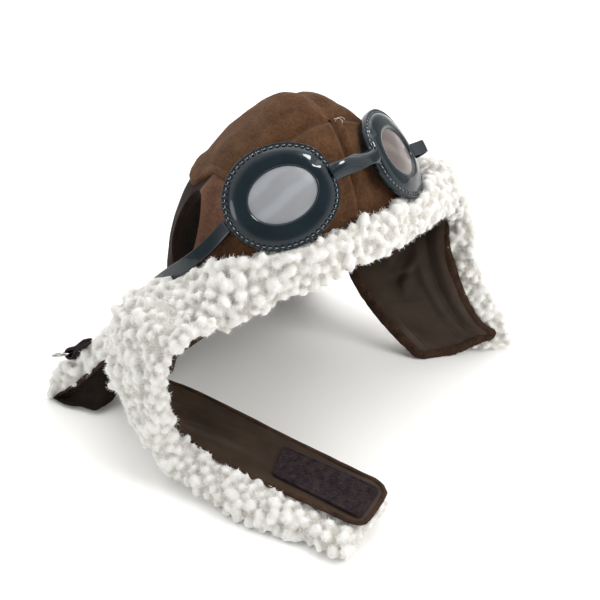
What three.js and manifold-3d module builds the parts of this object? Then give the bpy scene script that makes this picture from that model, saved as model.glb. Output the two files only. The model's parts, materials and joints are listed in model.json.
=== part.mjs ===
// Aviator hat with goggles, sized for a small head, standing by itself on its flaps.
// Units are millimetres. +Z is up, the brow faces -Y and the wearer's right side is -X.

import * as THREE from 'three';
import { mergeVertices } from 'three/addons/utils/BufferGeometryUtils.js';
import Module from 'manifold-3d';

const wasm = await Module();
wasm.setup();

// Driving dimensions

const CROWN = {
  centreY: 18,
  centreZ: 82,
  halfWidth: 71,
  halfFront: 56,
  halfBack: 65,
  height: 92,
  planPower: 2.15,
  profilePower: 1.68,
  apexY: 0,
  wall: 2.4,
  puff: 1.6,
};
const GAP = 0.35;
const SEAM = 0.8;
const BROW_RIM_Z = 108;
const SIDE_RIM_Z = 142;
const NAPE_RIM_Z = 64;
const PANEL_START_DEG = 77;
const PANEL_END_DEG = 140;
const EAR_HOLE = { y: 30, z: 112, halfWidth: 13, halfHeight: 20, lip: 3.4 };
const PILE = { lock: 1.7, lockPitch: 8.5, edge: 1.6 };
const LINING_WALL = 1.8;
const GOGGLE = {
  rightX: 37,
  leftX: 41,
  y: -14.5,
  z: 142,
  turnDeg: 36,
  tiltDeg: 35.5,
  rollDeg: 23,
  lensLong: 17.2,
  lensShort: 13,
  rimLong: 29.5,
  rimShort: 25,
  bend: 95,
  lens: 1.2,
};
const BRIDGE = { width: 7, thick: 2, rise: 3 };
const BAND = { width: 7, thick: 1.6 };
const PAD = { length: 54, width: 21, thick: 1.6 };
const RING = { radius: 6.4, wire: 0.8, lift: 0.5 };
const TAB = { u: 0.005, v: 0.75, width: 5.5, length: 13, fold: 2.6, eye: 1.7, stand: 12.5 };

// Small helpers for points, tables and curves

const V = (x, y, z) => new THREE.Vector3(x, y, z);
const rad = THREE.MathUtils.degToRad;
const lerp = THREE.MathUtils.lerp;
const smooth = THREE.MathUtils.smoothstep;

// A table holds one row per section. A column name picks the point that is read.
function tableCurve(rows, column) {
  const points = rows.map((row) => V(...row[column]));
  return new THREE.CatmullRomCurve3(points, false, 'centripetal');
}

// A curve read by row number, so that two edges of one table stay in step.
function atRow(curve, t) {
  return curve.getPoint(THREE.MathUtils.clamp(t, 0, 1));
}

// A plain number of a table, read between its rows.
function columnAt(rows, name, t) {
  const last = rows.length - 1;
  const k = THREE.MathUtils.clamp(Math.floor(t * last), 0, last - 1);
  return lerp(rows[k][name], rows[k + 1][name], t * last - k);
}

// Solids from grids of points

function gridGeometry(positions, index) {
  const geometry = new THREE.BufferGeometry();
  geometry.setAttribute('position', new THREE.Float32BufferAttribute(positions, 3));
  geometry.setIndex(index);
  return geometry;
}

// A wall between two grids, closed along its four borders.
function shellGeometry(outer, inner) {
  const rows = outer.length;
  const cols = outer[0].length;
  const positions = [];
  for (const grid of [outer, inner]) {
    for (const row of grid) {
      for (const point of row) positions.push(point.x, point.y, point.z);
    }
  }
  const near = (i, j) => i * cols + j;
  const far = (i, j) => rows * cols + i * cols + j;
  const index = [];
  const quad = (a, b, c, d) => index.push(a, b, c, a, c, d);
  for (let i = 0; i < rows - 1; i++) {
    for (let j = 0; j < cols - 1; j++) {
      quad(near(i, j), near(i, j + 1), near(i + 1, j + 1), near(i + 1, j));
      quad(far(i, j), far(i + 1, j), far(i + 1, j + 1), far(i, j + 1));
    }
  }
  for (let i = 0; i < rows - 1; i++) {
    quad(near(i, 0), near(i + 1, 0), far(i + 1, 0), far(i, 0));
    quad(near(i + 1, cols - 1), near(i, cols - 1), far(i, cols - 1), far(i + 1, cols - 1));
  }
  for (let j = 0; j < cols - 1; j++) {
    quad(near(0, j + 1), near(0, j), far(0, j), far(0, j + 1));
    quad(near(rows - 1, j), near(rows - 1, j + 1), far(rows - 1, j + 1), far(rows - 1, j));
  }
  return gridGeometry(positions, index);
}

// A body whose grid closes on itself both ways, such as a rim or a wire ring.
function ringGeometry(pointAt, around, section) {
  const positions = [];
  const index = [];
  for (let i = 0; i < around; i++) {
    for (let j = 0; j < section; j++) {
      const point = pointAt(i / around, j / section);
      positions.push(point.x, point.y, point.z);
    }
  }
  for (let i = 0; i < around; i++) {
    for (let j = 0; j < section; j++) {
      const a = i * section + j;
      const b = i * section + ((j + 1) % section);
      const c = ((i + 1) % around) * section + ((j + 1) % section);
      const d = ((i + 1) % around) * section + j;
      index.push(a, b, c, a, c, d);
    }
  }
  return gridGeometry(positions, index);
}

function signedVolume(geometry) {
  const p = geometry.getAttribute('position');
  const index = geometry.getIndex();
  const a = new THREE.Vector3();
  const b = new THREE.Vector3();
  const c = new THREE.Vector3();
  let total = 0;
  for (let i = 0; i < index.count; i += 3) {
    a.fromBufferAttribute(p, index.getX(i));
    b.fromBufferAttribute(p, index.getX(i + 1));
    c.fromBufferAttribute(p, index.getX(i + 2));
    total += a.dot(b.cross(c)) / 6;
  }
  return total;
}

// Shares the vertices of a geometry and turns it right side out.
function facingOut(source) {
  const bare = source.clone();
  bare.deleteAttribute('normal');
  bare.deleteAttribute('uv');
  const geometry = mergeVertices(bare, 1e-4);
  if (signedVolume(geometry) > 0) return geometry;
  const index = Array.from(geometry.getIndex().array);
  for (let i = 0; i < index.length; i += 3) {
    const swap = index[i + 1];
    index[i + 1] = index[i + 2];
    index[i + 2] = swap;
  }
  geometry.setIndex(index);
  return geometry;
}

function toSolid(geometry) {
  const merged = facingOut(geometry);
  return new wasm.Manifold(new wasm.Mesh({
    numProp: 3,
    vertProperties: new Float32Array(merged.getAttribute('position').array),
    triVerts: new Uint32Array(merged.getIndex().array),
  }));
}

function toGeometry(solid) {
  const mesh = solid.getMesh();
  return gridGeometry(Array.from(mesh.vertProperties), Array.from(mesh.triVerts));
}

function cutAway(geometry, ...tools) {
  let solid = toSolid(geometry);
  for (const tool of tools) solid = solid.subtract(toSolid(tool));
  const parts = solid.decompose();
  parts.sort((a, b) => b.volume() - a.volume());
  return toGeometry(parts[0]);
}

function keepWithin(geometry, tool) {
  return toGeometry(toSolid(geometry).intersect(toSolid(tool)));
}

// The crown's form: a blunt dome that leans back over the brow

function domeReach(direction) {
  const ry = direction.y < 0 ? CROWN.halfFront : CROWN.halfBack;
  const plan = (Math.abs(direction.x / CROWN.halfWidth) ** CROWN.planPower
    + Math.abs(direction.y / ry) ** CROWN.planPower) ** (1 / CROWN.planPower);
  const rise = Math.abs(direction.z / CROWN.height);
  return (plan ** CROWN.profilePower + rise ** CROWN.profilePower) ** (-1 / CROWN.profilePower);
}

const CROWN_CENTRE = V(0, CROWN.centreY, CROWN.centreZ);

function domePoint(direction, offset = 0) {
  const point = direction.clone().multiplyScalar(domeReach(direction) + offset);
  return point.add(CROWN_CENTRE);
}

// The direction that meets the dome at a height, for an azimuth counted from the brow.
function rimDirection(degrees, z) {
  const a = rad(degrees);
  let low = -0.6;
  let high = 1.5;
  for (let i = 0; i < 30; i++) {
    const lift = (low + high) / 2;
    const d = V(Math.sin(a) * Math.cos(lift), -Math.cos(a) * Math.cos(lift), Math.sin(lift));
    if (domePoint(d).z < z) low = lift;
    else high = lift;
  }
  return V(Math.sin(a) * Math.cos(low), -Math.cos(a) * Math.cos(low), Math.sin(low));
}

function apexDirection() {
  const y = (CROWN.apexY - CROWN.centreY) / CROWN.halfFront;
  const z = CROWN.height * (1 - Math.abs(y) ** CROWN.profilePower) ** (1 / CROWN.profilePower);
  return V(0, CROWN.apexY - CROWN.centreY, z).normalize();
}

const APEX = apexDirection();

// Height of the wool crown's lower edge, from the brow round to the nape.
function rimHeight(degrees) {
  return lerp(BROW_RIM_Z, NAPE_RIM_Z, smooth(Math.abs(degrees), 40, 150));
}

function slerp(from, to, t) {
  const angle = from.angleTo(to);
  const k = Math.sin(angle);
  const a = Math.sin((1 - t) * angle) / k;
  const b = Math.sin(t * angle) / k;
  return V(from.x * a + to.x * b, from.y * a + to.y * b, from.z * a + to.z * b);
}

// One gore spans a quarter turn, pillowed between its seams.
function goreGeometry(fromDeg, toDeg) {
  const around = 7;
  const down = 10;
  const firstRing = 0.014;
  const outer = [];
  const inner = [];
  for (let i = 0; i <= down; i++) {
    const t = lerp(firstRing, 1, i / down);
    const outerRow = [];
    const innerRow = [];
    for (let j = 0; j <= around; j++) {
      const u = j / around;
      const degrees = lerp(fromDeg, toDeg, u);
      const rim = rimDirection(degrees, rimHeight(degrees));
      const inset = ((0.5 - u) * SEAM) / Math.max(90 * t, 3);
      const dir = slerp(APEX, rim, t);
      dir.applyAxisAngle(APEX, inset);
      const pillow = CROWN.puff * (1 - Math.abs(2 * u - 1) ** 4) * Math.min(1, 3 * t) - CROWN.puff / 2;
      outerRow.push(domePoint(dir, pillow));
      innerRow.push(domePoint(dir, pillow - CROWN.wall));
    }
    outer.push(outerRow);
    inner.push(innerRow);
  }
  return shellGeometry(outer, inner);
}

// The wedge of space that a side panel fills, seen from the crown's centre.
function sideWedge(side, inset) {
  const narrow = THREE.MathUtils.radToDeg(inset / CROWN.halfWidth);
  const reach = 2 * CROWN.halfWidth;
  const plan = new THREE.Shape();
  plan.moveTo(0, CROWN.centreY);
  for (let k = 0; k <= 2; k++) {
    const a = rad(lerp(PANEL_START_DEG + narrow, PANEL_END_DEG - narrow, k / 2));
    plan.lineTo(side * Math.sin(a) * reach, CROWN.centreY - Math.cos(a) * reach);
  }
  const foot = 40;
  const wedge = new THREE.ExtrudeGeometry(plan, { depth: SIDE_RIM_Z - inset - foot, bevelEnabled: false });
  return wedge.translate(0, 0, foot);
}

// A solid dome that neighbours are cut with, so that they clear the crown.
function crownKeepOut(offset) {
  const rows = 16;
  const cols = 36;
  const foot = 52;
  const positions = [];
  const index = [];
  const ring = [];
  for (let i = 1; i <= rows; i++) {
    const start = positions.length / 3;
    ring.push(start);
    for (let j = 0; j < cols; j++) {
      const degrees = (360 * j) / cols - 180;
      const dir = slerp(V(0, 0, 1), rimDirection(degrees, foot), i / rows);
      const p = domePoint(dir, offset);
      positions.push(p.x, p.y, p.z);
    }
  }
  const top = positions.length / 3;
  const crest = domePoint(V(0, 0, 1), offset);
  positions.push(crest.x, crest.y, crest.z);
  positions.push(0, CROWN.centreY, foot - 6);
  for (let j = 0; j < cols; j++) {
    const k = (j + 1) % cols;
    index.push(top, ring[0] + j, ring[0] + k);
    index.push(top + 1, ring[rows - 1] + k, ring[rows - 1] + j);
    for (let i = 0; i < rows - 1; i++) {
      const a = ring[i] + j;
      const b = ring[i] + k;
      const c = ring[i + 1] + k;
      const d = ring[i + 1] + j;
      index.push(a, d, c, a, c, b);
    }
  }
  return gridGeometry(positions, index);
}

// Suede side panel round an ear opening

function panelGeometry(side) {
  const around = 9;
  const down = 9;
  const outer = [];
  const inner = [];
  for (let i = 0; i <= down; i++) {
    const outerRow = [];
    const innerRow = [];
    for (let j = 0; j <= around; j++) {
      const degrees = side * lerp(PANEL_START_DEG - 2, PANEL_END_DEG + 2, j / around);
      const top = SIDE_RIM_Z + 2;
      const z = lerp(top, rimHeight(degrees), i / down);
      const dir = rimDirection(degrees, z);
      const place = domePoint(dir);
      const dy = (place.y - EAR_HOLE.y) / EAR_HOLE.halfWidth;
      const dz = (place.z - EAR_HOLE.z) / EAR_HOLE.halfHeight;
      const ring = Math.exp(-(((Math.hypot(dy, dz) - 1.05) / 0.34) ** 2));
      const front = smooth(-dy, -0.6, 0.7);
      const upper = smooth(dz, -1.25, -0.6);
      const lift = EAR_HOLE.lip * ring * upper * lerp(0.35, 1, front);
      outerRow.push(domePoint(dir, lift));
      innerRow.push(domePoint(dir, lift - CROWN.wall));
    }
    outer.push(outerRow);
    inner.push(innerRow);
  }
  return shellGeometry(outer, inner);
}

function earHoleTool(side) {
  const outline = new THREE.Shape();
  outline.absellipse(0, 0, EAR_HOLE.halfWidth, EAR_HOLE.halfHeight, 0, Math.PI * 2);
  const tool = new THREE.ExtrudeGeometry(outline, { depth: 60, bevelEnabled: false, curveSegments: 14 });
  tool.rotateX(Math.PI / 2);
  tool.rotateZ(Math.PI / 2);
  tool.translate(side > 0 ? 40 : -100, EAR_HOLE.y, EAR_HOLE.z);
  return tool;
}

// Flaps and straps: a lining surface between two edges, and pile on its outer side

// Wearer's right strap, from the crown's edge down to the table and forward along it.
const STRAP_ROWS = [
  { front: [-66, -6, 90], rear: [-68, 36, 80], pile: 9 },
  { front: [-80, -8, 87], rear: [-80, 37, 80], pile: 9 },
  { front: [-92, -5, 80], rear: [-90, 38, 76], pile: 11 },
  { front: [-97, 3, 69], rear: [-95, 40, 64], pile: 12 },
  { front: [-98, 8, 57], rear: [-96, 42, 52], pile: 12 },
  { front: [-98, 10, 45], rear: [-94, 43, 41], pile: 12 },
  { front: [-97, 9, 34], rear: [-88, 42, 32], pile: 13 },
  { front: [-97, 3, 25.5], rear: [-79, 37, 25], pile: 15 },
  { front: [-95, -9, 20], rear: [-70, 24, 20.5], pile: 17 },
  { front: [-90, -32, 17], rear: [-61, -7, 18], pile: 17 },
  { front: [-84, -53, 16], rear: [-55, -33, 17], pile: 17 },
  { front: [-78, -72, 15.5], rear: [-50, -56, 17], pile: 17 },
  { front: [-72, -91, 15], rear: [-45, -79, 17], pile: 17 },
  { front: [-68, -106, 15], rear: [-41, -97, 17], pile: 17 },
];

// Wearer's left flap, leaning in under the crown with its hem on the table.
const FLAP_ROWS = [
  { front: [66, -6, 90], rear: [68, 44, 80], pile: 10 },
  { front: [82, -8, 88], rear: [74, 48, 76], pile: 12 },
  { front: [93, -7, 80], rear: [70, 48, 66], pile: 13 },
  { front: [89, -12, 68], rear: [64, 44, 56], pile: 13 },
  { front: [88, -19, 55], rear: [57, 33, 44], pile: 12 },
  { front: [90, -25, 41], rear: [57, 18, 30], pile: 12 },
  { front: [95, -30, 27], rear: [61, 4, 17], pile: 12 },
  { front: [101, -38, 13], rear: [65, -10, 7], pile: 12 },
  { front: [104, -42, 3.5], rear: [68, -18, 1.6], pile: 12 },
];

// Nape flap, from its wearer's right edge round the back to its left edge. The corner
// column squares off its plan.
const NAPE_ROWS = [
  { right: [-68, 42, 67], middle: [0, 81, 62], left: [64, 52, 67], corner: 1.2, pile: 5 },
  { right: [-78, 47, 60], middle: [-2, 83, 52], left: [67, 58, 57], corner: 1.8, pile: 8 },
  { right: [-86, 53, 50], middle: [-5, 85, 43], left: [70, 66, 48], corner: 2.4, pile: 10 },
  { right: [-91, 60, 39], middle: [-9, 88, 33], left: [72, 74, 38], corner: 3.0, pile: 11 },
  { right: [-99, 72, 25], middle: [-13, 93, 22], left: [74, 82, 24], corner: 3.2, pile: 12 },
  { right: [-110, 84, 10], middle: [-17, 98, 10], left: [76, 89, 10], corner: 3.2, pile: 12 },
  { right: [-119, 93, 0.6], middle: [-19, 102, 0.6], left: [77, 94, 0.6], corner: 3.2, pile: 11 },
];

function ribbonSurface(rows, side, bow) {
  const front = tableCurve(rows, 'front');
  const rear = tableCurve(rows, 'rear');
  return (u, v) => {
    const a = atRow(front, v);
    const b = atRow(rear, v);
    const p = a.clone().lerp(b, u);
    const across = b.clone().sub(a).normalize();
    const along = atRow(front, v + 0.02).sub(atRow(front, v - 0.02)).normalize();
    const out = along.cross(across).normalize().multiplyScalar(side);
    const arch = bow * (1 - (2 * Math.min(Math.max(u, 0), 1) - 1) ** 2);
    return { point: p.addScaledVector(out, arch), out, pile: columnAt(rows, 'pile', v) };
  };
}

function napeSurface() {
  const right = tableCurve(NAPE_ROWS, 'right');
  const middle = tableCurve(NAPE_ROWS, 'middle');
  const left = tableCurve(NAPE_ROWS, 'left');
  const cornerAt = (v) => columnAt(NAPE_ROWS, 'corner', v);
  const pointAt = (u, v) => {
    const a = atRow(right, v);
    const m = atRow(middle, v);
    const b = atRow(left, v);
    const turn = Math.PI * (u - 0.5) * 0.98;
    const half = (b.x - a.x) / 2;
    const x = (a.x + b.x) / 2 + half * Math.sin(turn);
    const side = u < 0.5 ? a : b;
    const bulge = Math.cos(turn) ** cornerAt(v);
    return V(x, lerp(side.y, m.y, bulge), lerp(side.z, m.z, bulge));
  };
  return (u, v) => {
    const step = 0.01;
    const du = pointAt(u + step, v).sub(pointAt(u - step, v));
    const dv = pointAt(u, Math.min(v + step, 1)).sub(pointAt(u, Math.max(v - step, 0)));
    return { point: pointAt(u, v), out: du.cross(dv).normalize(), pile: columnAt(NAPE_ROWS, 'pile', v) };
  };
}

// Height of the curly locks, as bumps in staggered rows along a surface.
function lockHeight(along, across) {
  const row = Math.round(across / PILE.lockPitch);
  const phase = (row % 2) * 0.5 + 0.23 * Math.sin(row * 2.4);
  const a = Math.cos(2 * Math.PI * (along / PILE.lockPitch + phase));
  const b = Math.cos(2 * Math.PI * (across / PILE.lockPitch));
  return PILE.lock * (0.6 * a * b + 0.4 * Math.sin(along / 5.1 + across / 3.7));
}

// Pile on the outer side of a surface. Past the surface's own edges it curls round into
// a soft lip, and it lies flat where it meets the table.
function pileGeometry(surface, cut) {
  const grow = cut.grow ?? 0;
  const skin = LINING_WALL / 2 + SEAM;
  const outer = [];
  const inner = [];
  for (let i = 0; i <= cut.rows; i++) {
    const v = lerp(cut.fromV, cut.toV, i / cut.rows);
    const end = Math.abs(2 * (i / cut.rows) - 1);
    const outerRow = [];
    const innerRow = [];
    for (let j = 0; j <= cut.cols; j++) {
      const s = Math.abs(2 * (j / cut.cols) - 1);
      const u = lerp(cut.fromU, cut.toU, j / cut.cols);
      const inside = THREE.MathUtils.clamp(u, 0, 1);
      const base = surface(inside, v);
      const ahead = surface(Math.min(inside + 0.02, 1), v).point;
      const behind = surface(Math.max(inside - 0.02, 0), v).point;
      const across = ahead.sub(behind).normalize();
      const past = u < 0 ? u / cut.fromU : (u - inside) / Math.max(cut.toU - 1, 0.01);
      const curl = 1 - Math.sqrt(1 - past * past * 0.98);
      const edge = Math.sqrt(1 - s ** 5 * 0.96) * Math.sqrt(1 - end ** 14 * 0.94);
      const lock = lockHeight(v * cut.length, u * cut.width) * edge;
      const lip = base.point.clone().addScaledVector(across, (u - inside) * cut.width);
      const plain = base.pile * lerp(0.22, 1, edge);
      const thick = lerp(plain, base.pile * 0.9, past) + lock + grow;
      const sink = base.pile * cut.curl * curl - grow;
      const p = lip.clone().addScaledVector(base.out, skin + thick);
      const q = lip.clone().addScaledVector(base.out, skin + sink);
      p.z = Math.max(p.z, 0);
      q.z = Math.max(q.z, PILE.edge);
      outerRow.push(p);
      innerRow.push(q);
    }
    outer.push(outerRow);
    inner.push(innerRow);
  }
  return shellGeometry(outer, inner);
}

function liningGeometry(surface, cut) {
  const outer = [];
  const inner = [];
  for (let i = 0; i <= cut.rows; i++) {
    const v = lerp(cut.fromV, cut.toV, i / cut.rows);
    const outerRow = [];
    const innerRow = [];
    for (let j = 0; j <= cut.cols; j++) {
      const u = j / cut.cols;
      const base = surface(u, v);
      const p = base.point.clone().addScaledVector(base.out, LINING_WALL / 2);
      const q = base.point.clone().addScaledVector(base.out, -LINING_WALL / 2);
      q.z = Math.max(q.z, 0);
      outerRow.push(p);
      innerRow.push(q);
    }
    outer.push(outerRow);
    inner.push(innerRow);
  }
  return shellGeometry(outer, inner);
}

// Brow band: centre line of the rolled pile, its height and its thickness

const BROW_ROWS = [
  { at: [-76, 48, 68], tall: 18, thick: 12 },
  { at: [-82, 30, 79], tall: 24, thick: 15 },
  { at: [-82, 9, 85], tall: 26, thick: 16 },
  { at: [-72, -9, 92], tall: 26, thick: 16 },
  { at: [-54, -19, 101], tall: 26, thick: 15 },
  { at: [-32, -29, 108], tall: 25, thick: 14 },
  { at: [-8, -34, 113], tall: 24, thick: 13 },
  { at: [16, -34, 114], tall: 24, thick: 13 },
  { at: [39, -29, 112], tall: 25, thick: 14 },
  { at: [62, -21, 108], tall: 27, thick: 16 },
  { at: [84, -10, 104], tall: 29, thick: 20 },
  { at: [98, 7, 100], tall: 29, thick: 22 },
  { at: [94, 32, 90], tall: 26, thick: 18 },
  { at: [83, 54, 76], tall: 22, thick: 14 },
];

function browGeometry(grow) {
  const stations = 40;
  const section = 10;
  const line = tableCurve(BROW_ROWS, 'at');
  const positions = [];
  const index = [];
  for (let i = 0; i <= stations; i++) {
    const t = i / stations;
    const centre = atRow(line, t);
    const along = atRow(line, t + 0.01).sub(atRow(line, t - 0.01)).normalize();
    const radial = V(centre.x, centre.y - CROWN.centreY, 0).normalize();
    const up = V(-radial.x * 0.34, -radial.y * 0.34, 1);
    up.addScaledVector(along, -up.dot(along)).normalize();
    const out = up.clone().cross(along).normalize();
    if (out.dot(radial) < 0) out.negate();
    const end = Math.sqrt(Math.max(0.05, 1 - Math.abs(2 * t - 1) ** 16));
    for (let j = 0; j < section; j++) {
      const a = (2 * Math.PI * j) / section;
      const c = Math.cos(a);
      const s = Math.sin(a);
      const lock = lockHeight(t * 260, (a / Math.PI) * 26) * (c > -0.6 ? 1 : 0.2);
      const halfThick = columnAt(BROW_ROWS, 'thick', t) / 2 + lock * 0.6 + grow;
      const halfTall = columnAt(BROW_ROWS, 'tall', t) / 2 + lock + grow;
      const p = centre.clone();
      p.addScaledVector(out, Math.sign(c) * Math.abs(c) ** 0.8 * halfThick * end);
      p.addScaledVector(up, Math.sign(s) * Math.abs(s) ** 0.8 * halfTall * end);
      positions.push(p.x, p.y, p.z);
    }
  }
  const first = atRow(line, 0);
  const final = atRow(line, 1);
  const total = (stations + 1) * section;
  positions.push(first.x, first.y, first.z, final.x, final.y, final.z);
  for (let j = 0; j < section; j++) {
    const k = (j + 1) % section;
    index.push(total, j, k);
    index.push(total + 1, stations * section + k, stations * section + j);
    for (let i = 0; i < stations; i++) {
      const a = i * section + j;
      const b = i * section + k;
      const c = (i + 1) * section + k;
      const d = (i + 1) * section + j;
      index.push(a, c, b, a, d, c);
    }
  }
  return gridGeometry(positions, index);
}

// Goggles: each has its own frame of axes on the crown's front

function goggleAxes(side) {
  const turn = rad(GOGGLE.turnDeg);
  const tilt = rad(GOGGLE.tiltDeg);
  const out = V(side * Math.sin(turn) * Math.cos(tilt), -Math.cos(turn) * Math.cos(tilt), Math.sin(tilt));
  const level = V(0, 0, 1).cross(out).normalize();
  const long = level.clone().applyAxisAngle(out, -side * rad(GOGGLE.rollDeg));
  const short = out.clone().cross(long);
  const centre = V(side > 0 ? GOGGLE.leftX : -GOGGLE.rightX, GOGGLE.y, GOGGLE.z);
  return { out, long, short, centre };
}

// Outline of the rim, pinched on the side of the bridge.
function rimReach(angle, side) {
  const inward = Math.cos(angle) * -side;
  const pinch = 1 - 0.09 * Math.max(0, inward) ** 6;
  return { long: GOGGLE.rimLong * pinch, short: GOGGLE.rimShort * (1 - 0.05 * inward) };
}

// Section of the rim, from the lens opening out over the front and back behind it.
const RIM_SECTION = [
  { reach: 0.0, height: -0.6 },
  { reach: 0.0, height: 0.9 },
  { reach: 0.3, height: 2.3 },
  { reach: 0.66, height: 2.5 },
  { reach: 0.86, height: 1.4 },
  { reach: 0.96, height: 1.5 },
  { reach: 1.0, height: 0.3 },
  { reach: 1.0, height: -2.2 },
  { reach: 0.9, height: -2.8 },
  { reach: 0.8, height: -0.9 },
];

function gogglePoint(axes, x, y, height) {
  const sag = (x * x + y * y) / (2 * GOGGLE.bend);
  return axes.centre.clone()
    .addScaledVector(axes.long, x)
    .addScaledVector(axes.short, y)
    .addScaledVector(axes.out, height - sag);
}

function frameGeometry(side) {
  const axes = goggleAxes(side);
  return ringGeometry((t, s) => {
    const angle = 2 * Math.PI * t;
    const row = RIM_SECTION[Math.round(s * RIM_SECTION.length)];
    const rim = rimReach(angle, side);
    const long = lerp(GOGGLE.lensLong, rim.long, row.reach);
    const short = lerp(GOGGLE.lensShort, rim.short, row.reach);
    return gogglePoint(axes, Math.cos(angle) * long, Math.sin(angle) * short, row.height);
  }, 32, RIM_SECTION.length);
}

// A domed plate with an oval outline, used for the lenses and to clear the pile.
function ovalPlate(side, long, short, low, high) {
  const axes = goggleAxes(side);
  const around = 20;
  const rings = 2;
  const positions = [];
  const index = [];
  const layers = [high, low];
  layers.forEach((height) => {
    for (let i = 1; i <= rings; i++) {
      for (let j = 0; j < around; j++) {
        const a = (2 * Math.PI * j) / around;
        const k = i / rings;
        const p = gogglePoint(axes, Math.cos(a) * long * k, Math.sin(a) * short * k, height);
        positions.push(p.x, p.y, p.z);
      }
    }
    const p = gogglePoint(axes, 0, 0, height);
    positions.push(p.x, p.y, p.z);
  });
  const layer = rings * around + 1;
  const at = (n, i, j) => n * layer + (i - 1) * around + (j % around);
  for (let j = 0; j < around; j++) {
    index.push(layer - 1, at(0, 1, j), at(0, 1, j + 1));
    index.push(2 * layer - 1, at(1, 1, j + 1), at(1, 1, j));
    for (let i = 1; i < rings; i++) {
      index.push(at(0, i, j), at(0, i + 1, j), at(0, i + 1, j + 1));
      index.push(at(0, i, j), at(0, i + 1, j + 1), at(0, i, j + 1));
      index.push(at(1, i, j), at(1, i + 1, j + 1), at(1, i + 1, j));
      index.push(at(1, i, j), at(1, i, j + 1), at(1, i + 1, j + 1));
    }
    index.push(at(0, rings, j), at(1, rings, j), at(1, rings, j + 1));
    index.push(at(0, rings, j), at(1, rings, j + 1), at(0, rings, j + 1));
  }
  return gridGeometry(positions, index);
}

// A flat strip along a line, with its own width direction at each station
function stripGeometry(stations, width, thick) {
  const outer = [];
  const inner = [];
  for (const { point, wide, out } of stations) {
    const row = [];
    const back = [];
    for (let j = 0; j <= 2; j++) {
      const across = (j / 2 - 0.5) * width;
      const crown = j === 1 ? 0.35 : 0;
      row.push(point.clone().addScaledVector(wide, across).addScaledVector(out, thick / 2 + crown));
      back.push(point.clone().addScaledVector(wide, across).addScaledVector(out, -thick / 2));
    }
    outer.push(row);
    inner.push(back);
  }
  return shellGeometry(outer, inner);
}

function bridgeGeometry() {
  const steps = 10;
  const right = goggleAxes(-1);
  const left = goggleAxes(1);
  const reach = GOGGLE.rimLong * 0.91 + 0.6;
  const start = gogglePoint(right, reach, 0, 0);
  const end = gogglePoint(left, -reach, 0, 0);
  const stations = [];
  for (let i = 0; i <= steps; i++) {
    const t = i / steps;
    const point = start.clone().lerp(end, t);
    const out = right.out.clone().lerp(left.out, t).normalize();
    point.addScaledVector(out, BRIDGE.rise * Math.sin(Math.PI * t));
    const along = end.clone().sub(start).normalize();
    stations.push({ point, out, wide: out.clone().cross(along).normalize() });
  }
  return stripGeometry(stations, BRIDGE.width, BRIDGE.thick);
}

// Band of the goggles: degrees from the brow, and the height that it lies at
const BAND_ROWS = [
  { degrees: 74.5, z: 124.5 },
  { degrees: 78, z: 118 },
  { degrees: 88, z: 108 },
  { degrees: 98, z: 99 },
  { degrees: 112, z: 92 },
  { degrees: 130, z: 89 },
  { degrees: 155, z: 88 },
  { degrees: 180, z: 88 },
];

function bandGeometry(grow) {
  const steps = 40;
  const centres = [];
  for (let i = 0; i <= steps; i++) {
    const t = (2 * i) / steps;
    const along = t <= 1 ? t : 2 - t;
    const degrees = columnAt(BAND_ROWS, 'degrees', along) * (t <= 1 ? -1 : 1);
    const dir = rimDirection(degrees, columnAt(BAND_ROWS, 'z', along));
    const nearEar = Math.exp(-(((Math.abs(degrees) - 96) / 20) ** 2));
    const lift = CROWN.puff / 2 + BAND.thick / 2 + GAP + EAR_HOLE.lip * nearEar + 0.5;
    centres.push({ point: domePoint(dir, lift), out: dir.clone() });
  }
  const stations = centres.map((centre, i) => {
    const before = centres[Math.max(i - 1, 0)].point;
    const after = centres[Math.min(i + 1, steps)].point;
    const along = after.clone().sub(before).normalize();
    const out = centre.out.clone().addScaledVector(along, -centre.out.dot(along)).normalize();
    return { point: centre.point, out, wide: out.clone().cross(along).normalize() };
  });
  return stripGeometry(stations, BAND.width + 2 * grow, BAND.thick + 2 * grow);
}

// Small fittings

// Hook-and-loop pad on the strap's inner face, near its free end.
function padGeometry(surface) {
  const toV = 0.985;
  const end = surface(0.5, toV).point;
  let fromV = toV;
  while (surface(0.5, fromV).point.distanceTo(end) < PAD.length) fromV -= 0.002;
  const rows = 8;
  const outer = [];
  const inner = [];
  for (let i = 0; i <= rows; i++) {
    const v = lerp(fromV, toV, i / rows);
    const wide = surface(0, v).point.distanceTo(surface(1, v).point);
    const margin = (wide - PAD.width) / 2 / wide;
    const outerRow = [];
    const innerRow = [];
    for (let j = 0; j <= 3; j++) {
      const base = surface(lerp(margin, 1 - margin, j / 3), v);
      const low = LINING_WALL / 2 + GAP;
      outerRow.push(base.point.clone().addScaledVector(base.out, -low - PAD.thick));
      innerRow.push(base.point.clone().addScaledVector(base.out, -low));
    }
    outer.push(outerRow);
    inner.push(innerRow);
  }
  return shellGeometry(outer, inner);
}

// Folded tab on the nape flap's outer side, with a wire ring through its eye.
function tabFrame(surface) {
  const base = surface(TAB.u, TAB.v);
  const ahead = surface(TAB.u, TAB.v + 0.03).point;
  const along = ahead.sub(base.point).normalize();
  const out = base.out.clone().addScaledVector(along, -base.out.dot(along)).normalize();
  const wide = along.clone().cross(out);
  const at = base.point.clone().addScaledVector(out, TAB.stand);
  return { along, out, wide, at };
}

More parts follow.
